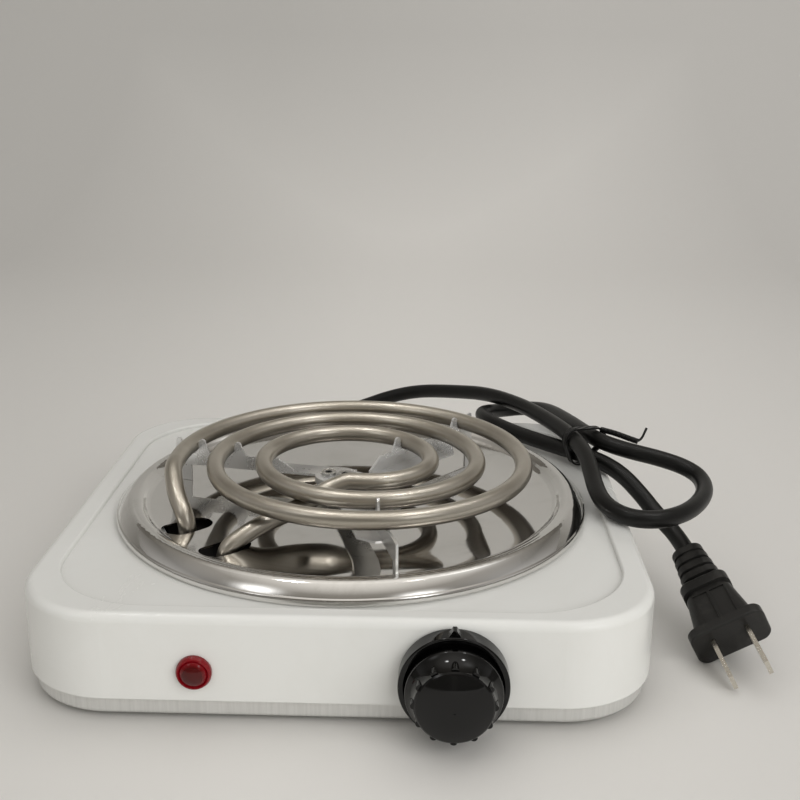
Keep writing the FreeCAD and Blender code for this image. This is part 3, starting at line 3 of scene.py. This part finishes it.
import bpy
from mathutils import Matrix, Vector


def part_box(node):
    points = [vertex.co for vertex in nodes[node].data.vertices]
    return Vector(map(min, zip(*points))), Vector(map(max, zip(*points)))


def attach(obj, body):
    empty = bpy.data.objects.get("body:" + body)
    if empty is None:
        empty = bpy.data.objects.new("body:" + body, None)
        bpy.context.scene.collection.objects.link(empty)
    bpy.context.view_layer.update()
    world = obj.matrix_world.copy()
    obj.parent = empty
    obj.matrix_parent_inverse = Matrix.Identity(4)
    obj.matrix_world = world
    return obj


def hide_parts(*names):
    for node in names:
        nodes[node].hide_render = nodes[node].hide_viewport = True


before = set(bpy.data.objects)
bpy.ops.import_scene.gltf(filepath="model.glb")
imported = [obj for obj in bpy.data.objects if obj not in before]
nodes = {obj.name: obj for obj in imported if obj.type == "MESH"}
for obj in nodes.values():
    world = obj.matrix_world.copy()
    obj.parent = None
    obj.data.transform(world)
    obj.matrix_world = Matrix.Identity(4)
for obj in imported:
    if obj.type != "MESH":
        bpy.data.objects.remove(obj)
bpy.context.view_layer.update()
scene = bpy.context.scene
print("frame loaded:", len(nodes), "nodes")


def deselectAll():
    if bpy.context.object and bpy.context.object.mode != "OBJECT":
        bpy.ops.object.mode_set(mode="OBJECT")
    bpy.ops.object.select_all(action="DESELECT")


# camera, matched to the photograph's view
cameraSet = {
    "place": (0.0290, -0.40329, 0.20563),
    "turn": (72.914, -0.451, 1.650),
    "lens": 51.0,
    "sensor": 36,
    "near": 0.01,
}
bpy.ops.object.camera_add(
    location=cameraSet["place"], rotation=[math.radians(a) for a in cameraSet["turn"]])
viewCamera = bpy.context.object
viewCamera.data.lens = cameraSet["lens"]
viewCamera.data.sensor_width = cameraSet["sensor"]
viewCamera.data.clip_start = cameraSet["near"]
scene.camera = viewCamera
scene.view_settings.view_transform = "Standard"
print("camera set")


# short calls for node trees
mixSockets = {"mask": 0, "first": 6, "second": 7, "result": 2}  # where a colour mix has them


def feed(tree, socket, value):
    # a socket takes another node's output, a colour or a plain value
    if isinstance(value, bpy.types.NodeSocket):
        tree.links.new(value, socket)
    elif socket.type == "RGBA":
        socket.default_value = (*value, 1)
    else:
        socket.default_value = value


def putNode(tree, kind, **values):
    node = tree.nodes.new(kind)
    for name, value in values.items():
        if name in node.inputs:
            feed(tree, node.inputs[name], value)
        else:
            setattr(node, name, value)
    return node


def calculate(tree, operation, *operands):
    node = putNode(tree, "ShaderNodeMath", operation=operation)
    for socket, operand in zip(node.inputs, operands):
        feed(tree, socket, operand)
    return node.outputs["Value"]


def vectorMath(tree, operation, first, second):
    node = putNode(tree, "ShaderNodeVectorMath", operation=operation)
    feed(tree, node.inputs[0], first)
    feed(tree, node.inputs[1], second)
    return node.outputs


def remap(tree, value, start, end=(0, 1)):
    # moves a value from one range to another, and keeps it inside that
    limits = {"From Min": start[0], "From Max": start[1], "To Min": end[0], "To Max": end[1]}
    return putNode(tree, "ShaderNodeMapRange", Value=value, **limits).outputs["Result"]


def mixColours(tree, mask, first, second):
    mix = putNode(tree, "ShaderNodeMix", data_type="RGBA")
    feed(tree, mix.inputs[mixSockets["mask"]], mask)
    feed(tree, mix.inputs[mixSockets["first"]], first)
    feed(tree, mix.inputs[mixSockets["second"]], second)
    return mix.outputs[mixSockets["result"]]


def coordinates(tree, kind):
    return putNode(tree, "ShaderNodeTexCoord").outputs[kind]


def splitAxes(tree, vector):
    return putNode(tree, "ShaderNodeSeparateXYZ", Vector=vector).outputs


# shared node groups: each puts out masks and heights only
def newGroup(name, inputs, outputs):
    tree = bpy.data.node_groups.new(name, "ShaderNodeTree")
    for side, labels in (("INPUT", inputs), ("OUTPUT", outputs)):
        for label in labels:
            tree.interface.new_socket(label, in_out=side, socket_type="NodeSocketFloat")
    return tree, tree.nodes.new("NodeGroupInput").outputs, tree.nodes.new("NodeGroupOutput").inputs


def scaledPlace(tree, scales):
    # object coordinates, multiplied along each axis by its own socket
    stretch = putNode(tree, "ShaderNodeCombineXYZ", **dict(zip("XYZ", scales)))
    return vectorMath(tree, "MULTIPLY", coordinates(tree, "Object"), stretch.outputs["Vector"])["Vector"]


def makeBrushMarks():
    # fine lines: a noise drawn out along the axis with the small scale
    axes = ["AlongX", "AlongY", "AlongZ"]
    tree, given, result = newGroup("brushMarks", axes, ["Height", "Mask"])
    place = scaledPlace(tree, [given[axis] for axis in axes])
    lines = putNode(tree, "ShaderNodeTexNoise", Vector=place, Scale=1.0, Detail=4.0, Roughness=0.65)
    feed(tree, result["Height"], lines.outputs["Fac"])
    feed(tree, result["Mask"], remap(tree, lines.outputs["Fac"], (0.3, 0.7)))
    return tree


def makeSmudges():
    # wiped dirt and dust: a broad cloud broken up by finer ones
    tree, given, result = newGroup("smudges", ["Scale", "Low", "High"], ["Mask"])
    place = scaledPlace(tree, [given["Scale"]] * 3)
    cloud = putNode(
        tree, "ShaderNodeTexNoise", Vector=place, Scale=1.0, Detail=6.0, Roughness=0.7, Distortion=0.6)
    feed(tree, result["Mask"], remap(tree, cloud.outputs["Fac"], (given["Low"], given["High"])))
    return tree


def makeGrain():
    # even fine grain for moulded and enamelled skins
    tree, given, result = newGroup("grain", ["Scale"], ["Height"])
    place = scaledPlace(tree, [given["Scale"]] * 3)
    grain = putNode(tree, "ShaderNodeTexNoise", Vector=place, Scale=1.0, Detail=2.0, Roughness=0.5)
    feed(tree, result["Height"], grain.outputs["Fac"])
    return tree


groups = {"brushMarks": makeBrushMarks(), "smudges": makeSmudges(), "grain": makeGrain()}
fineDepth = 0.0002  # of grain and brush marks


class Finish:
    # one material and its shader, with short calls for what most finishes need
    def __init__(self, name, **sockets):
        self.material = bpy.data.materials.new(name)
        self.material.use_nodes = True
        self.tree = self.material.node_tree
        self.shader = self.tree.nodes["Principled BSDF"]
        for label, value in sockets.items():
            self.give(label.replace("_", " "), value)

    def give(self, socket, value):
        feed(self.tree, self.shader.inputs[socket], value)

    def group(self, name, **values):
        return putNode(self.tree, "ShaderNodeGroup", node_tree=groups[name], **values).outputs

    def smudges(self, scale, low, high):
        return self.group("smudges", Scale=scale, Low=low, High=high)["Mask"]

    def colour(self, mask, first, second):
        self.give("Base Color", mixColours(self.tree, mask, first, second))

    def rough(self, mask, low, high):
        self.give("Roughness", remap(self.tree, mask, (0, 1), (low, high)))

    def bump(self, height, strength, depth):
        node = putNode(self.tree, "ShaderNodeBump", Height=height, Strength=strength, Distance=depth)
        self.give("Normal", node.outputs["Normal"])

    def grain(self, scale, strength):
        self.bump(self.group("grain", Scale=scale)["Height"], strength, fineDepth)

    def fromAxis(self, node, keep):
        # distance from the middle of a node's box, along the axes that keep has as 1
        low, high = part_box(node)
        middle = [-k * (a + b) / 2 for k, a, b in zip(keep, low, high)]
        place = coordinates(self.tree, "Object")
        centred = putNode(self.tree, "ShaderNodeMapping", Vector=place, Location=middle, Scale=keep)
        out = putNode(
            self.tree, "ShaderNodeVectorMath", operation="LENGTH", Vector=centred.outputs["Vector"])
        return out.outputs["Value"]


def smudgedSkin(name, given, **sockets):
    # smudges move the colour and the roughness from the first of each pair to the second
    look = Finish(name, **sockets)
    mask = look.smudges(*given["smudges"])
    look.colour(mask, *given["colours"])
    look.rough(mask, *given["rough"])
    if "grain" in given:
        look.grain(*given["grain"])
    return look


# finishes: smudges are scale, low and high; grain is scale and strength
enamelSet = {
    "colours": [(0.70, 0.70, 0.672), (0.665, 0.665, 0.632)],
    "rough": (0.2, 0.33),
    "smudges": (22, 0.4, 0.85),
    "grain": (420, 0.05),
}


def whiteEnamel():
    return smudgedSkin("whiteEnamel", enamelSet, Coat_Weight=0.1, Coat_Roughness=0.12)


panSet = {
    "colours": [(0.79, 0.78, 0.76), (0.68, 0.67, 0.64)],
    "rough": (0.05, 0.13),
    "smudges": (40, 0.5, 0.8),
    "slope": (0.0835, 0.0895),  # radii of the outer slope
    "roll": 0.0005,
}


def panChrome():
    # polished, with the outer slope rolled a little between its crest and its lip
    look = smudgedSkin("panChrome", panSet, Metallic=1.0)
    across = remap(look.tree, look.fromAxis("drip_pan", (1, 1, 0)), panSet["slope"], (-1, 1))
    crown = calculate(look.tree, "MULTIPLY", across, across)
    look.bump(calculate(look.tree, "SUBTRACT", 1, crown), 1.0, panSet["roll"])
    return look


tubeSet = {
    "colours": [(0.67, 0.63, 0.56), (0.56, 0.515, 0.44)],
    "tint": (26, 0.35, 0.75),
    "rough": (0.31, 0.36),
    "wear": (110, 0.3, 0.8),
    # painted shade: the colour given to the tube's underside
    "scorched": (0.13, 0.115, 0.095),
    "underside": (-0.6, 0.25),  # normal's Z, from the painted under-shade to the unshaded tone
}


def sheathSteel():
    # painted shade: darker below, on the tube's underside, where it faces down
    look = Finish("sheathSteel", Metallic=1.0)
    clean = mixColours(look.tree, look.smudges(*tubeSet["tint"]), *tubeSet["colours"])
    facing = splitAxes(look.tree, coordinates(look.tree, "Normal"))["Z"]
    # painted shade: the downward-facing side takes the dark colour
    look.colour(remap(look.tree, facing, tubeSet["underside"]), tubeSet["scorched"], clean)
    look.rough(look.smudges(*tubeSet["wear"]), *tubeSet["rough"])
    return look


sheetSet = {
    "colours": [(0.80, 0.80, 0.79), (0.825, 0.825, 0.815)],
    "crystals": 160.0,
    "rough": (0.26, 0.31),
    "smudges": (40, 0.35, 0.8),
}


def galvanisedSheet():
    # zinc crystals, each of its own shade
    look = Finish("galvanisedSheet", Metallic=0.75)
    place = coordinates(look.tree, "Object")
    crystals = putNode(look.tree, "ShaderNodeTexVoronoi", Vector=place, Scale=sheetSet["crystals"])
    shade = putNode(look.tree, "ShaderNodeSeparateColor", Color=crystals.outputs["Color"])
    look.colour(shade.outputs["Red"], *sheetSet["colours"])
    look.rough(look.smudges(*sheetSet["smudges"]), *sheetSet["rough"])
    return look


bandSet = {
    "colours": [(0.64, 0.64, 0.62), (0.75, 0.75, 0.73)],
    "rough": (0.3, 0.46),
    "marks": {"AlongX": 900, "AlongY": 900, "AlongZ": 40},
    "bump": 0.1,
}


def trayBand():
    # rolled sheet with its marks running up the band
    look = Finish("trayBand", Metallic=0.65)
    marks = look.group("brushMarks", **bandSet["marks"])
    look.colour(marks["Mask"], *bandSet["colours"])
    look.rough(marks["Mask"], *bandSet["rough"])
    look.bump(marks["Height"], bandSet["bump"], fineDepth)
    return look


knobSet = {
    "colours": [(0.0012, 0.0012, 0.0012), (0.004, 0.0039, 0.0037)],
    "rough": (0.05, 0.13),
    "smudges": (120, 0.55, 0.9),
    "grain": (700, 0.04),
}


def knobBlack():
    return smudgedSkin("knobBlack", knobSet, Specular_IOR_Level=0.38)


cordSet = {
    "colours": [(0.004, 0.004, 0.0037), (0.01, 0.0096, 0.009)],
    "rough": (0.36, 0.51),
    "smudges": (70, 0.5, 0.9),
    "grain": (1600, 0.12),
}
plugSet = {
    "colours": [(0.015, 0.0145, 0.0135), (0.048, 0.046, 0.042)],
    "rough": (0.3, 0.45),
    "smudges": (70, 0.5, 0.9),
    "grain": (1600, 0.12),
}


def leadBlack(name, given):
    return smudgedSkin(name, given, Specular_IOR_Level=0.32)


tieSet = {
    "colours": [(0.004, 0.004, 0.004), (0.012, 0.0115, 0.011)],
    "smudges": (160, 0.5, 0.9),
    "tailTurn": 38,
    "twists": 150.0,
    "twistBump": (0.8, 0.0005),
}


def tieBlack():
    # a coated wire, twisted along its tail
    look = Finish("tieBlack", Roughness=0.4, Specular_IOR_Level=0.32)
    look.colour(look.smudges(*tieSet["smudges"]), *tieSet["colours"])
    place = coordinates(look.tree, "Object")
    turn = (0, 0, math.radians(tieSet["tailTurn"]))
    turned = putNode(look.tree, "ShaderNodeMapping", Vector=place, Rotation=turn)
    twist = putNode(
        look.tree, "ShaderNodeTexWave", Vector=turned.outputs["Vector"], Scale=tieSet["twists"])
    look.bump(twist.outputs["Fac"], *tieSet["twistBump"])
    return look


lensSet = {
    # painted shade for the middle, then painted light for the ring
    "colours": [(0.085, 0.003, 0.003), (0.25, 0.003, 0.008)],
    "ring": (0.0030, 0.0043),  # radii where the painted lit ring starts and is full
}


def lensRed():
    # painted light and shade: a darker red in the middle, where the lamp is off, and a brighter red painted
    # along the ring, as if lit up
    look = Finish(
        "lensRed", Roughness=0.06, IOR=1.49, Specular_IOR_Level=0.35, Transmission_Weight=0.3)
    ring = remap(look.tree, look.fromAxis("indicator_lens", (1, 0, 1)), lensSet["ring"])
    look.colour(ring, *lensSet["colours"])
    return look


platedSet = {"rough": (0.2, 0.38), "smudges": (120, 0.35, 0.8)}


def platedMetal(name, light, dark):
    return smudgedSkin(name, {"colours": [light, dark], **platedSet}, Metallic=1.0)


mattSet = {"smoother": 0.06, "rougher": 0.1, "low": 0.35, "high": 0.85, "grain": (1200, 0.1)}


def mattSkin(name, light, dark, rough, scale):
    return smudgedSkin(name, {
        "colours": [light, dark],
        "rough": (rough - mattSet["smoother"], rough + mattSet["rougher"]),
        "smudges": (scale, mattSet["low"], mattSet["high"]),
        "grain": mattSet["grain"],
    })


finishes = {
    "enamel": whiteEnamel(),
    "chrome": panChrome(),
    "sheath": sheathSteel(),
    "galvanised": galvanisedSheet(),
    "tray": trayBand(),
    "knob": knobBlack(),
    "cord": leadBlack("cordBlack", cordSet),
    "plug": leadBlack("plugBlack", plugSet),
    "tie": tieBlack(),
    "lens": lensRed(),
    # painted shade: the parts under the pan are near black, so that its slots look black
    "sooted": mattSkin("sootedSheet", (0.03, 0.028, 0.026), (0.055, 0.05, 0.045), 0.6, 90),
    "plated": platedMetal("platedSteel", (0.66, 0.66, 0.65), (0.5, 0.5, 0.49)),
    "blades": platedMetal("bladeMetal", (0.72, 0.69, 0.62), (0.62, 0.58, 0.51)),
    "brass": platedMetal("terminalBrass", (0.72, 0.56, 0.26), (0.5, 0.37, 0.16)),
    "ceramic": mattSkin("ceramicBody", (0.78, 0.75, 0.68), (0.66, 0.62, 0.54), 0.55, 140),
    "rubber": mattSkin("footRubber", (0.02, 0.02, 0.02), (0.045, 0.043, 0.04), 0.7, 200),
    "nylon": mattSkin("clampNylon", (0.74, 0.72, 0.66), (0.62, 0.6, 0.54), 0.45, 120),
    "sleeve": mattSkin("wireSleeve", (0.72, 0.68, 0.58), (0.56, 0.52, 0.43), 0.75, 400),
    "bulb": mattSkin("lampBulb", (0.85, 0.55, 0.38), (0.7, 0.4, 0.25), 0.25, 300),
}
wearers = {
    "enamel": ["body_shell"],
    "chrome": ["drip_pan"],
    "sheath": ["heating_coil"],
    "galvanised": [
        "spider_arm_front", "spider_arm_left", "spider_arm_right", "corner_brackets", "thermostat_plate",
    ],
    "tray": ["base_tray"],
    "knob": ["control_knob"],
    "cord": ["inner_lead"],
    "plug": ["plug_body", "cord_gland"],
    "tie": ["twist_tie"],
    "lens": ["indicator_lens"],
    "sooted": ["crossbar", "heat_shield", "pan_spacer"],  # painted shade: near black, so that the slots look black
    "plated": [
        "base_screws", "crossbar_screws", "cord_clamp_screws", "terminal_block_screws", "thermostat_screws",
        "pan_nut", "pan_screw", "spider_rivets", "lamp_push_nut", "knob_spring_clip", "thermostat_shaft",
        "coil_terminal_pins",
    ],
    "blades": ["plug_blades"],
    "brass": ["lead_cores", "thermostat_bush", "thermostat_terminals", "thermostat_leaves"],
    "ceramic": ["coil_end_seals", "thermostat_body", "terminal_block"],
    "rubber": ["rubber_feet"],
    "nylon": ["cord_clamp"],
    "sleeve": ["wire_heater", "wire_live", "wire_neutral"],
    "bulb": ["indicator_lamp"],
}
for label, names in wearers.items():
    for name in names:
        slots = nodes[name].data.materials
        slots.clear()
        slots.append(finishes[label].material)
print("finishes made:", len(finishes))


# mains lead: from the gland behind the body, over its rear corner, looped back, to the plug
leadSet = {
    "radius": 0.0034,
    "length": 0.666,
    "roundness": 8,
    "smoothness": 10,
    "shift": 0.01025,  # the route is measured from the middle of the body, this far behind the origin
    "points": [
        (-0.048, 0.124, 0.018), (-0.048, 0.138, 0.018), (-0.039, 0.15, 0.018), (-0.024, 0.157, 0.02),
        (-0.006, 0.1585, 0.026), (0.01, 0.1555, 0.033), (0.025, 0.1505, 0.0375), (0.042, 0.135, 0.042),
        (0.058, 0.118, 0.0462), (0.0725, 0.0945, 0.048), (0.0825, 0.0705, 0.0488), (0.09, 0.0485, 0.0492),
        (0.094, 0.029, 0.0482), (0.0945, 0.014, 0.0456), (0.0947, 0.001, 0.0434), (0.096, -0.011, 0.0422),
        (0.1005, -0.021, 0.0418), (0.108, -0.0255, 0.0416), (0.1185, -0.023, 0.0412),
        (0.13, -0.0115, 0.0404), (0.139, 0.0065, 0.04), (0.1405, 0.021, 0.0408), (0.1355, 0.0285, 0.0427),
        (0.125, 0.032, 0.0452), (0.113, 0.0345, 0.0472), (0.1035, 0.0405, 0.0484), (0.098, 0.0535, 0.048),
        (0.0925, 0.079, 0.0456), (0.086, 0.106, 0.0424), (0.0765, 0.121, 0.0383), (0.064, 0.1195, 0.0372),
        (0.0535, 0.104, 0.041), (0.0565, 0.0885, 0.042), (0.067, 0.0735, 0.0418), (0.079, 0.0595, 0.0419),
        (0.0905, 0.048, 0.0421), (0.1015, 0.0355, 0.0423), (0.109, 0.025, 0.0404), (0.1155, 0.0175, 0.035),
        (0.121, 0.009, 0.0294), (0.12802, -0.00259, 0.02439), (0.1294, -0.01222, 0.02209),
    ],
}


def mainsLead():
    deselectAll()
    bpy.ops.curve.primitive_nurbs_path_add(location=(0, 0, 0))
    lead = bpy.context.object
    lead.name = "mainsLead"
    curve = lead.data
    curve.splines.clear()
    spline = curve.splines.new("NURBS")
    spline.points.add(len(leadSet["points"]) - 1)
    for knot, (x, y, z) in zip(spline.points, leadSet["points"]):
        knot.co = (x, y + leadSet["shift"], z, 1)
    spline.order_u = 3
    spline.use_endpoint_u = True
    spline.resolution_u = leadSet["smoothness"]
    curve.dimensions = "3D"
    curve.bevel_depth = leadSet["radius"]
    curve.bevel_resolution = leadSet["roundness"]
    curve.use_fill_caps = True
    curve.materials.append(finishes["cord"].material)
    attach(lead, "housing")
    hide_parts("power_cord")
    x, y, z = leadSet["points"][0]


mainsLead()
print("lead laid")


# floor and backdrop in one sweep
sweepSet = {
    "halfWidth": 4.0, "front": -3.0, "back": 1.6, "height": 1.0, "bend": 0.9, "bendSteps": 32,
    "reach": 0.01,  # how near a line an edge is taken to lie on it
}


def pickEdges(mesh, isWanted):
    for edge in mesh.edges:
        edge.select = all(isWanted(mesh.vertices[v].co) for v in edge.vertices)


def backdropSweep():
    deselectAll()
    bpy.ops.mesh.primitive_plane_add(size=2)
    sweep = bpy.context.object
    sweep.name = "backdropSweep"
    front, back, reach = sweepSet["front"], sweepSet["back"], sweepSet["reach"]
    bpy.ops.object.mode_set(mode="EDIT")
    bpy.ops.mesh.select_all(action="SELECT")
    bpy.ops.transform.resize(value=(sweepSet["halfWidth"], (back - front) / 2, 1))
    bpy.ops.transform.translate(value=(0, (back + front) / 2, 0))
    bpy.ops.object.mode_set(mode="OBJECT")
    pickEdges(sweep.data, lambda end: end.y > back - reach)
    bpy.ops.object.mode_set(mode="EDIT")
    bpy.ops.mesh.select_mode(type="EDGE")
    bpy.ops.mesh.extrude_edges_move(TRANSFORM_OT_translate={"value": (0, 0, sweepSet["height"])})
    bpy.ops.object.mode_set(mode="OBJECT")
    pickEdges(sweep.data, lambda end: end.y > back - reach and end.z < reach)
    bpy.ops.object.mode_set(mode="EDIT")
    bpy.ops.mesh.bevel(offset=sweepSet["bend"], segments=sweepSet["bendSteps"], affect="EDGES")
    bpy.ops.object.mode_set(mode="OBJECT")
    bpy.ops.object.shade_smooth()
    return sweep


paperSet = {
    # painted light: the left colour is darker and the right lighter, as the key lamp stands to the right
    "colours": [(0.60, 0.589, 0.562), (0.675, 0.662, 0.634)],
    "across": (-0.2, 0.2),  # X, from the painted darker left colour to the painted lighter right one
    "sides": (0.03, 0.4),  # painted falloff: distance from the middle, from the inner level to the outer
    "far": (0.85, 1.3),  # painted falloff: Y, from the inner level to the outer
    "levels": (1.2, 0.91),
}


def sweepPaper():
    # painted light and shade: paler in the middle, with painted shade falling off to the far edge and to
    # both sides, and painted lighter to the right, where the key lamp stands
    look = Finish("sweepPaper", Roughness=0.8)
    tree = look.tree
    place = splitAxes(tree, coordinates(tree, "Object"))
    # painted light: lighter to the right, darker to the left
    tint = mixColours(tree, remap(tree, place["X"], paperSet["across"]), *paperSet["colours"])
    sides = remap(tree, calculate(tree, "ABSOLUTE", place["X"]), paperSet["sides"])
    far = remap(tree, place["Y"], paperSet["far"])
    # painted shade: the level falls off to the sides and the far edge
    level = remap(tree, calculate(tree, "MAXIMUM", sides, far), (0, 1), paperSet["levels"])
    paper = putNode(tree, "ShaderNodeVectorMath", operation="SCALE", Vector=tint, Scale=level)
    look.give("Base Color", paper.outputs["Vector"])
    below = putNode(tree, "ShaderNodeNewGeometry")  # clear from below, so that the base can be seen
    clear = putNode(tree, "ShaderNodeBsdfTransparent")
    either = putNode(tree, "ShaderNodeMixShader", Fac=below.outputs["Backfacing"])
    feed(tree, either.inputs[1], look.shader.outputs["BSDF"])
    feed(tree, either.inputs[2], clear.outputs["BSDF"])
    feed(tree, tree.nodes["Material Output"].inputs["Surface"], either.outputs["Shader"])
    return look


backdropSweep().data.materials.append(sweepPaper().material)


# soft studio light: lamps for the shading, and a room for the metal to reflect
lampTarget = Vector((0, 0, 0.03))
lightSet = {
    "key": {"place": (0.95, -1.1, 0.8), "size": 1.2, "power": 15},
    "fill": {"place": (-0.9, -0.9, 0.9), "size": 1.4, "power": 3.2},
    "front": {"place": (0.2, -1.5, 0.22), "size": 1.8, "power": 4.9},
    "top": {"place": (0.05, 0.2, 1.5), "size": 1.8, "power": 8.1},
}


def softLights():
    for name, given in lightSet.items():
        bpy.ops.object.light_add(type="AREA", location=given["place"])
        lamp = bpy.context.object
        lamp.name = name + "Softbox"
        lamp.data.size = given["size"]
        lamp.data.energy = given["power"]
        lamp.rotation_euler = (lampTarget - lamp.location).to_track_quat("-Z", "Y").to_euler()
        lamp.visible_glossy = False
        lamp.visible_camera = False


# rooms are colours by height; a glow is a direction, a sharpness and a strength
roomSet = {
    "plain": [(0.0, (0.46, 0.45, 0.43)), (0.4, (0.46, 0.45, 0.43)), (0.9, (0.24, 0.22, 0.20))],
    "mirrored": [
        (0.0, (0.16, 0.15, 0.135)), (0.3, (0.22, 0.208, 0.19)), (0.5, (0.12, 0.11, 0.095)),
        (0.75, (0.30, 0.28, 0.25)), (1.0, (0.98, 0.94, 0.88)),
    ],
    "glows": [
        ((-0.26, 0.02, 0.96), 1200, 30.0),
        ((0.30, -0.10, 0.94), 1200, 34.0),
        ((-0.95, -0.1, 0.3), 10, 0.2),
        ((0.95, -0.1, 0.3), 10, 0.3),
        ((0.46, 0.18, 0.86), 60, 0.8),
        ((0.5, -0.65, 0.57), 120, 3.0),
        ((-0.55, -0.5, 0.66), 120, 2.0),
    ],
}


def roomRamp(tree, height, stops):
    ramp = putNode(tree, "ShaderNodeValToRGB", Fac=height)
    steps = ramp.color_ramp.elements
    for step, (place, colour) in zip([steps[0], steps[1]], [stops[0], stops[-1]]):
        step.position, step.color = place, (*colour, 1)
    for place, colour in stops[1:-1]:
        steps.new(place).color = (*colour, 1)
    return ramp.outputs["Color"]


def roomGlow(tree, direction, facing, sharpness, strength):
    # a soft round patch of light in one direction of the room
    aim = vectorMath(tree, "DOT_PRODUCT", direction, Vector(facing).normalized())["Value"]
    lobe = calculate(tree, "POWER", calculate(tree, "MAXIMUM", aim, 0), sharpness)
    return calculate(tree, "MULTIPLY", lobe, strength)


def roomLight():
    # a plain room lights the matt skins; the polished ones mirror a darker one with soft lamps in it
    scene.world = bpy.data.worlds.new("roomLight")
    scene.world.use_nodes = True
    tree = scene.world.node_tree
    direction = coordinates(tree, "Generated")
    height = splitAxes(tree, direction)["Z"]
    plain = roomRamp(tree, height, roomSet["plain"])
    mirrored = roomRamp(tree, height, roomSet["mirrored"])
    for glow in roomSet["glows"]:
        mirrored = vectorMath(tree, "ADD", mirrored, roomGlow(tree, direction, *glow))["Vector"]
    path = putNode(tree, "ShaderNodeLightPath").outputs
    # a mirror shows the lamps, but throws no glints of them on matt skins
    straight = calculate(tree, "SUBTRACT", path["Is Glossy Ray"], path["Diffuse Depth"])
    shown = calculate(tree, "MAXIMUM", straight, 0)
    feed(tree, tree.nodes["Background"].inputs["Color"], mixColours(tree, shown, plain, mirrored))


softLights()
roomLight()
print("stage and lights set")
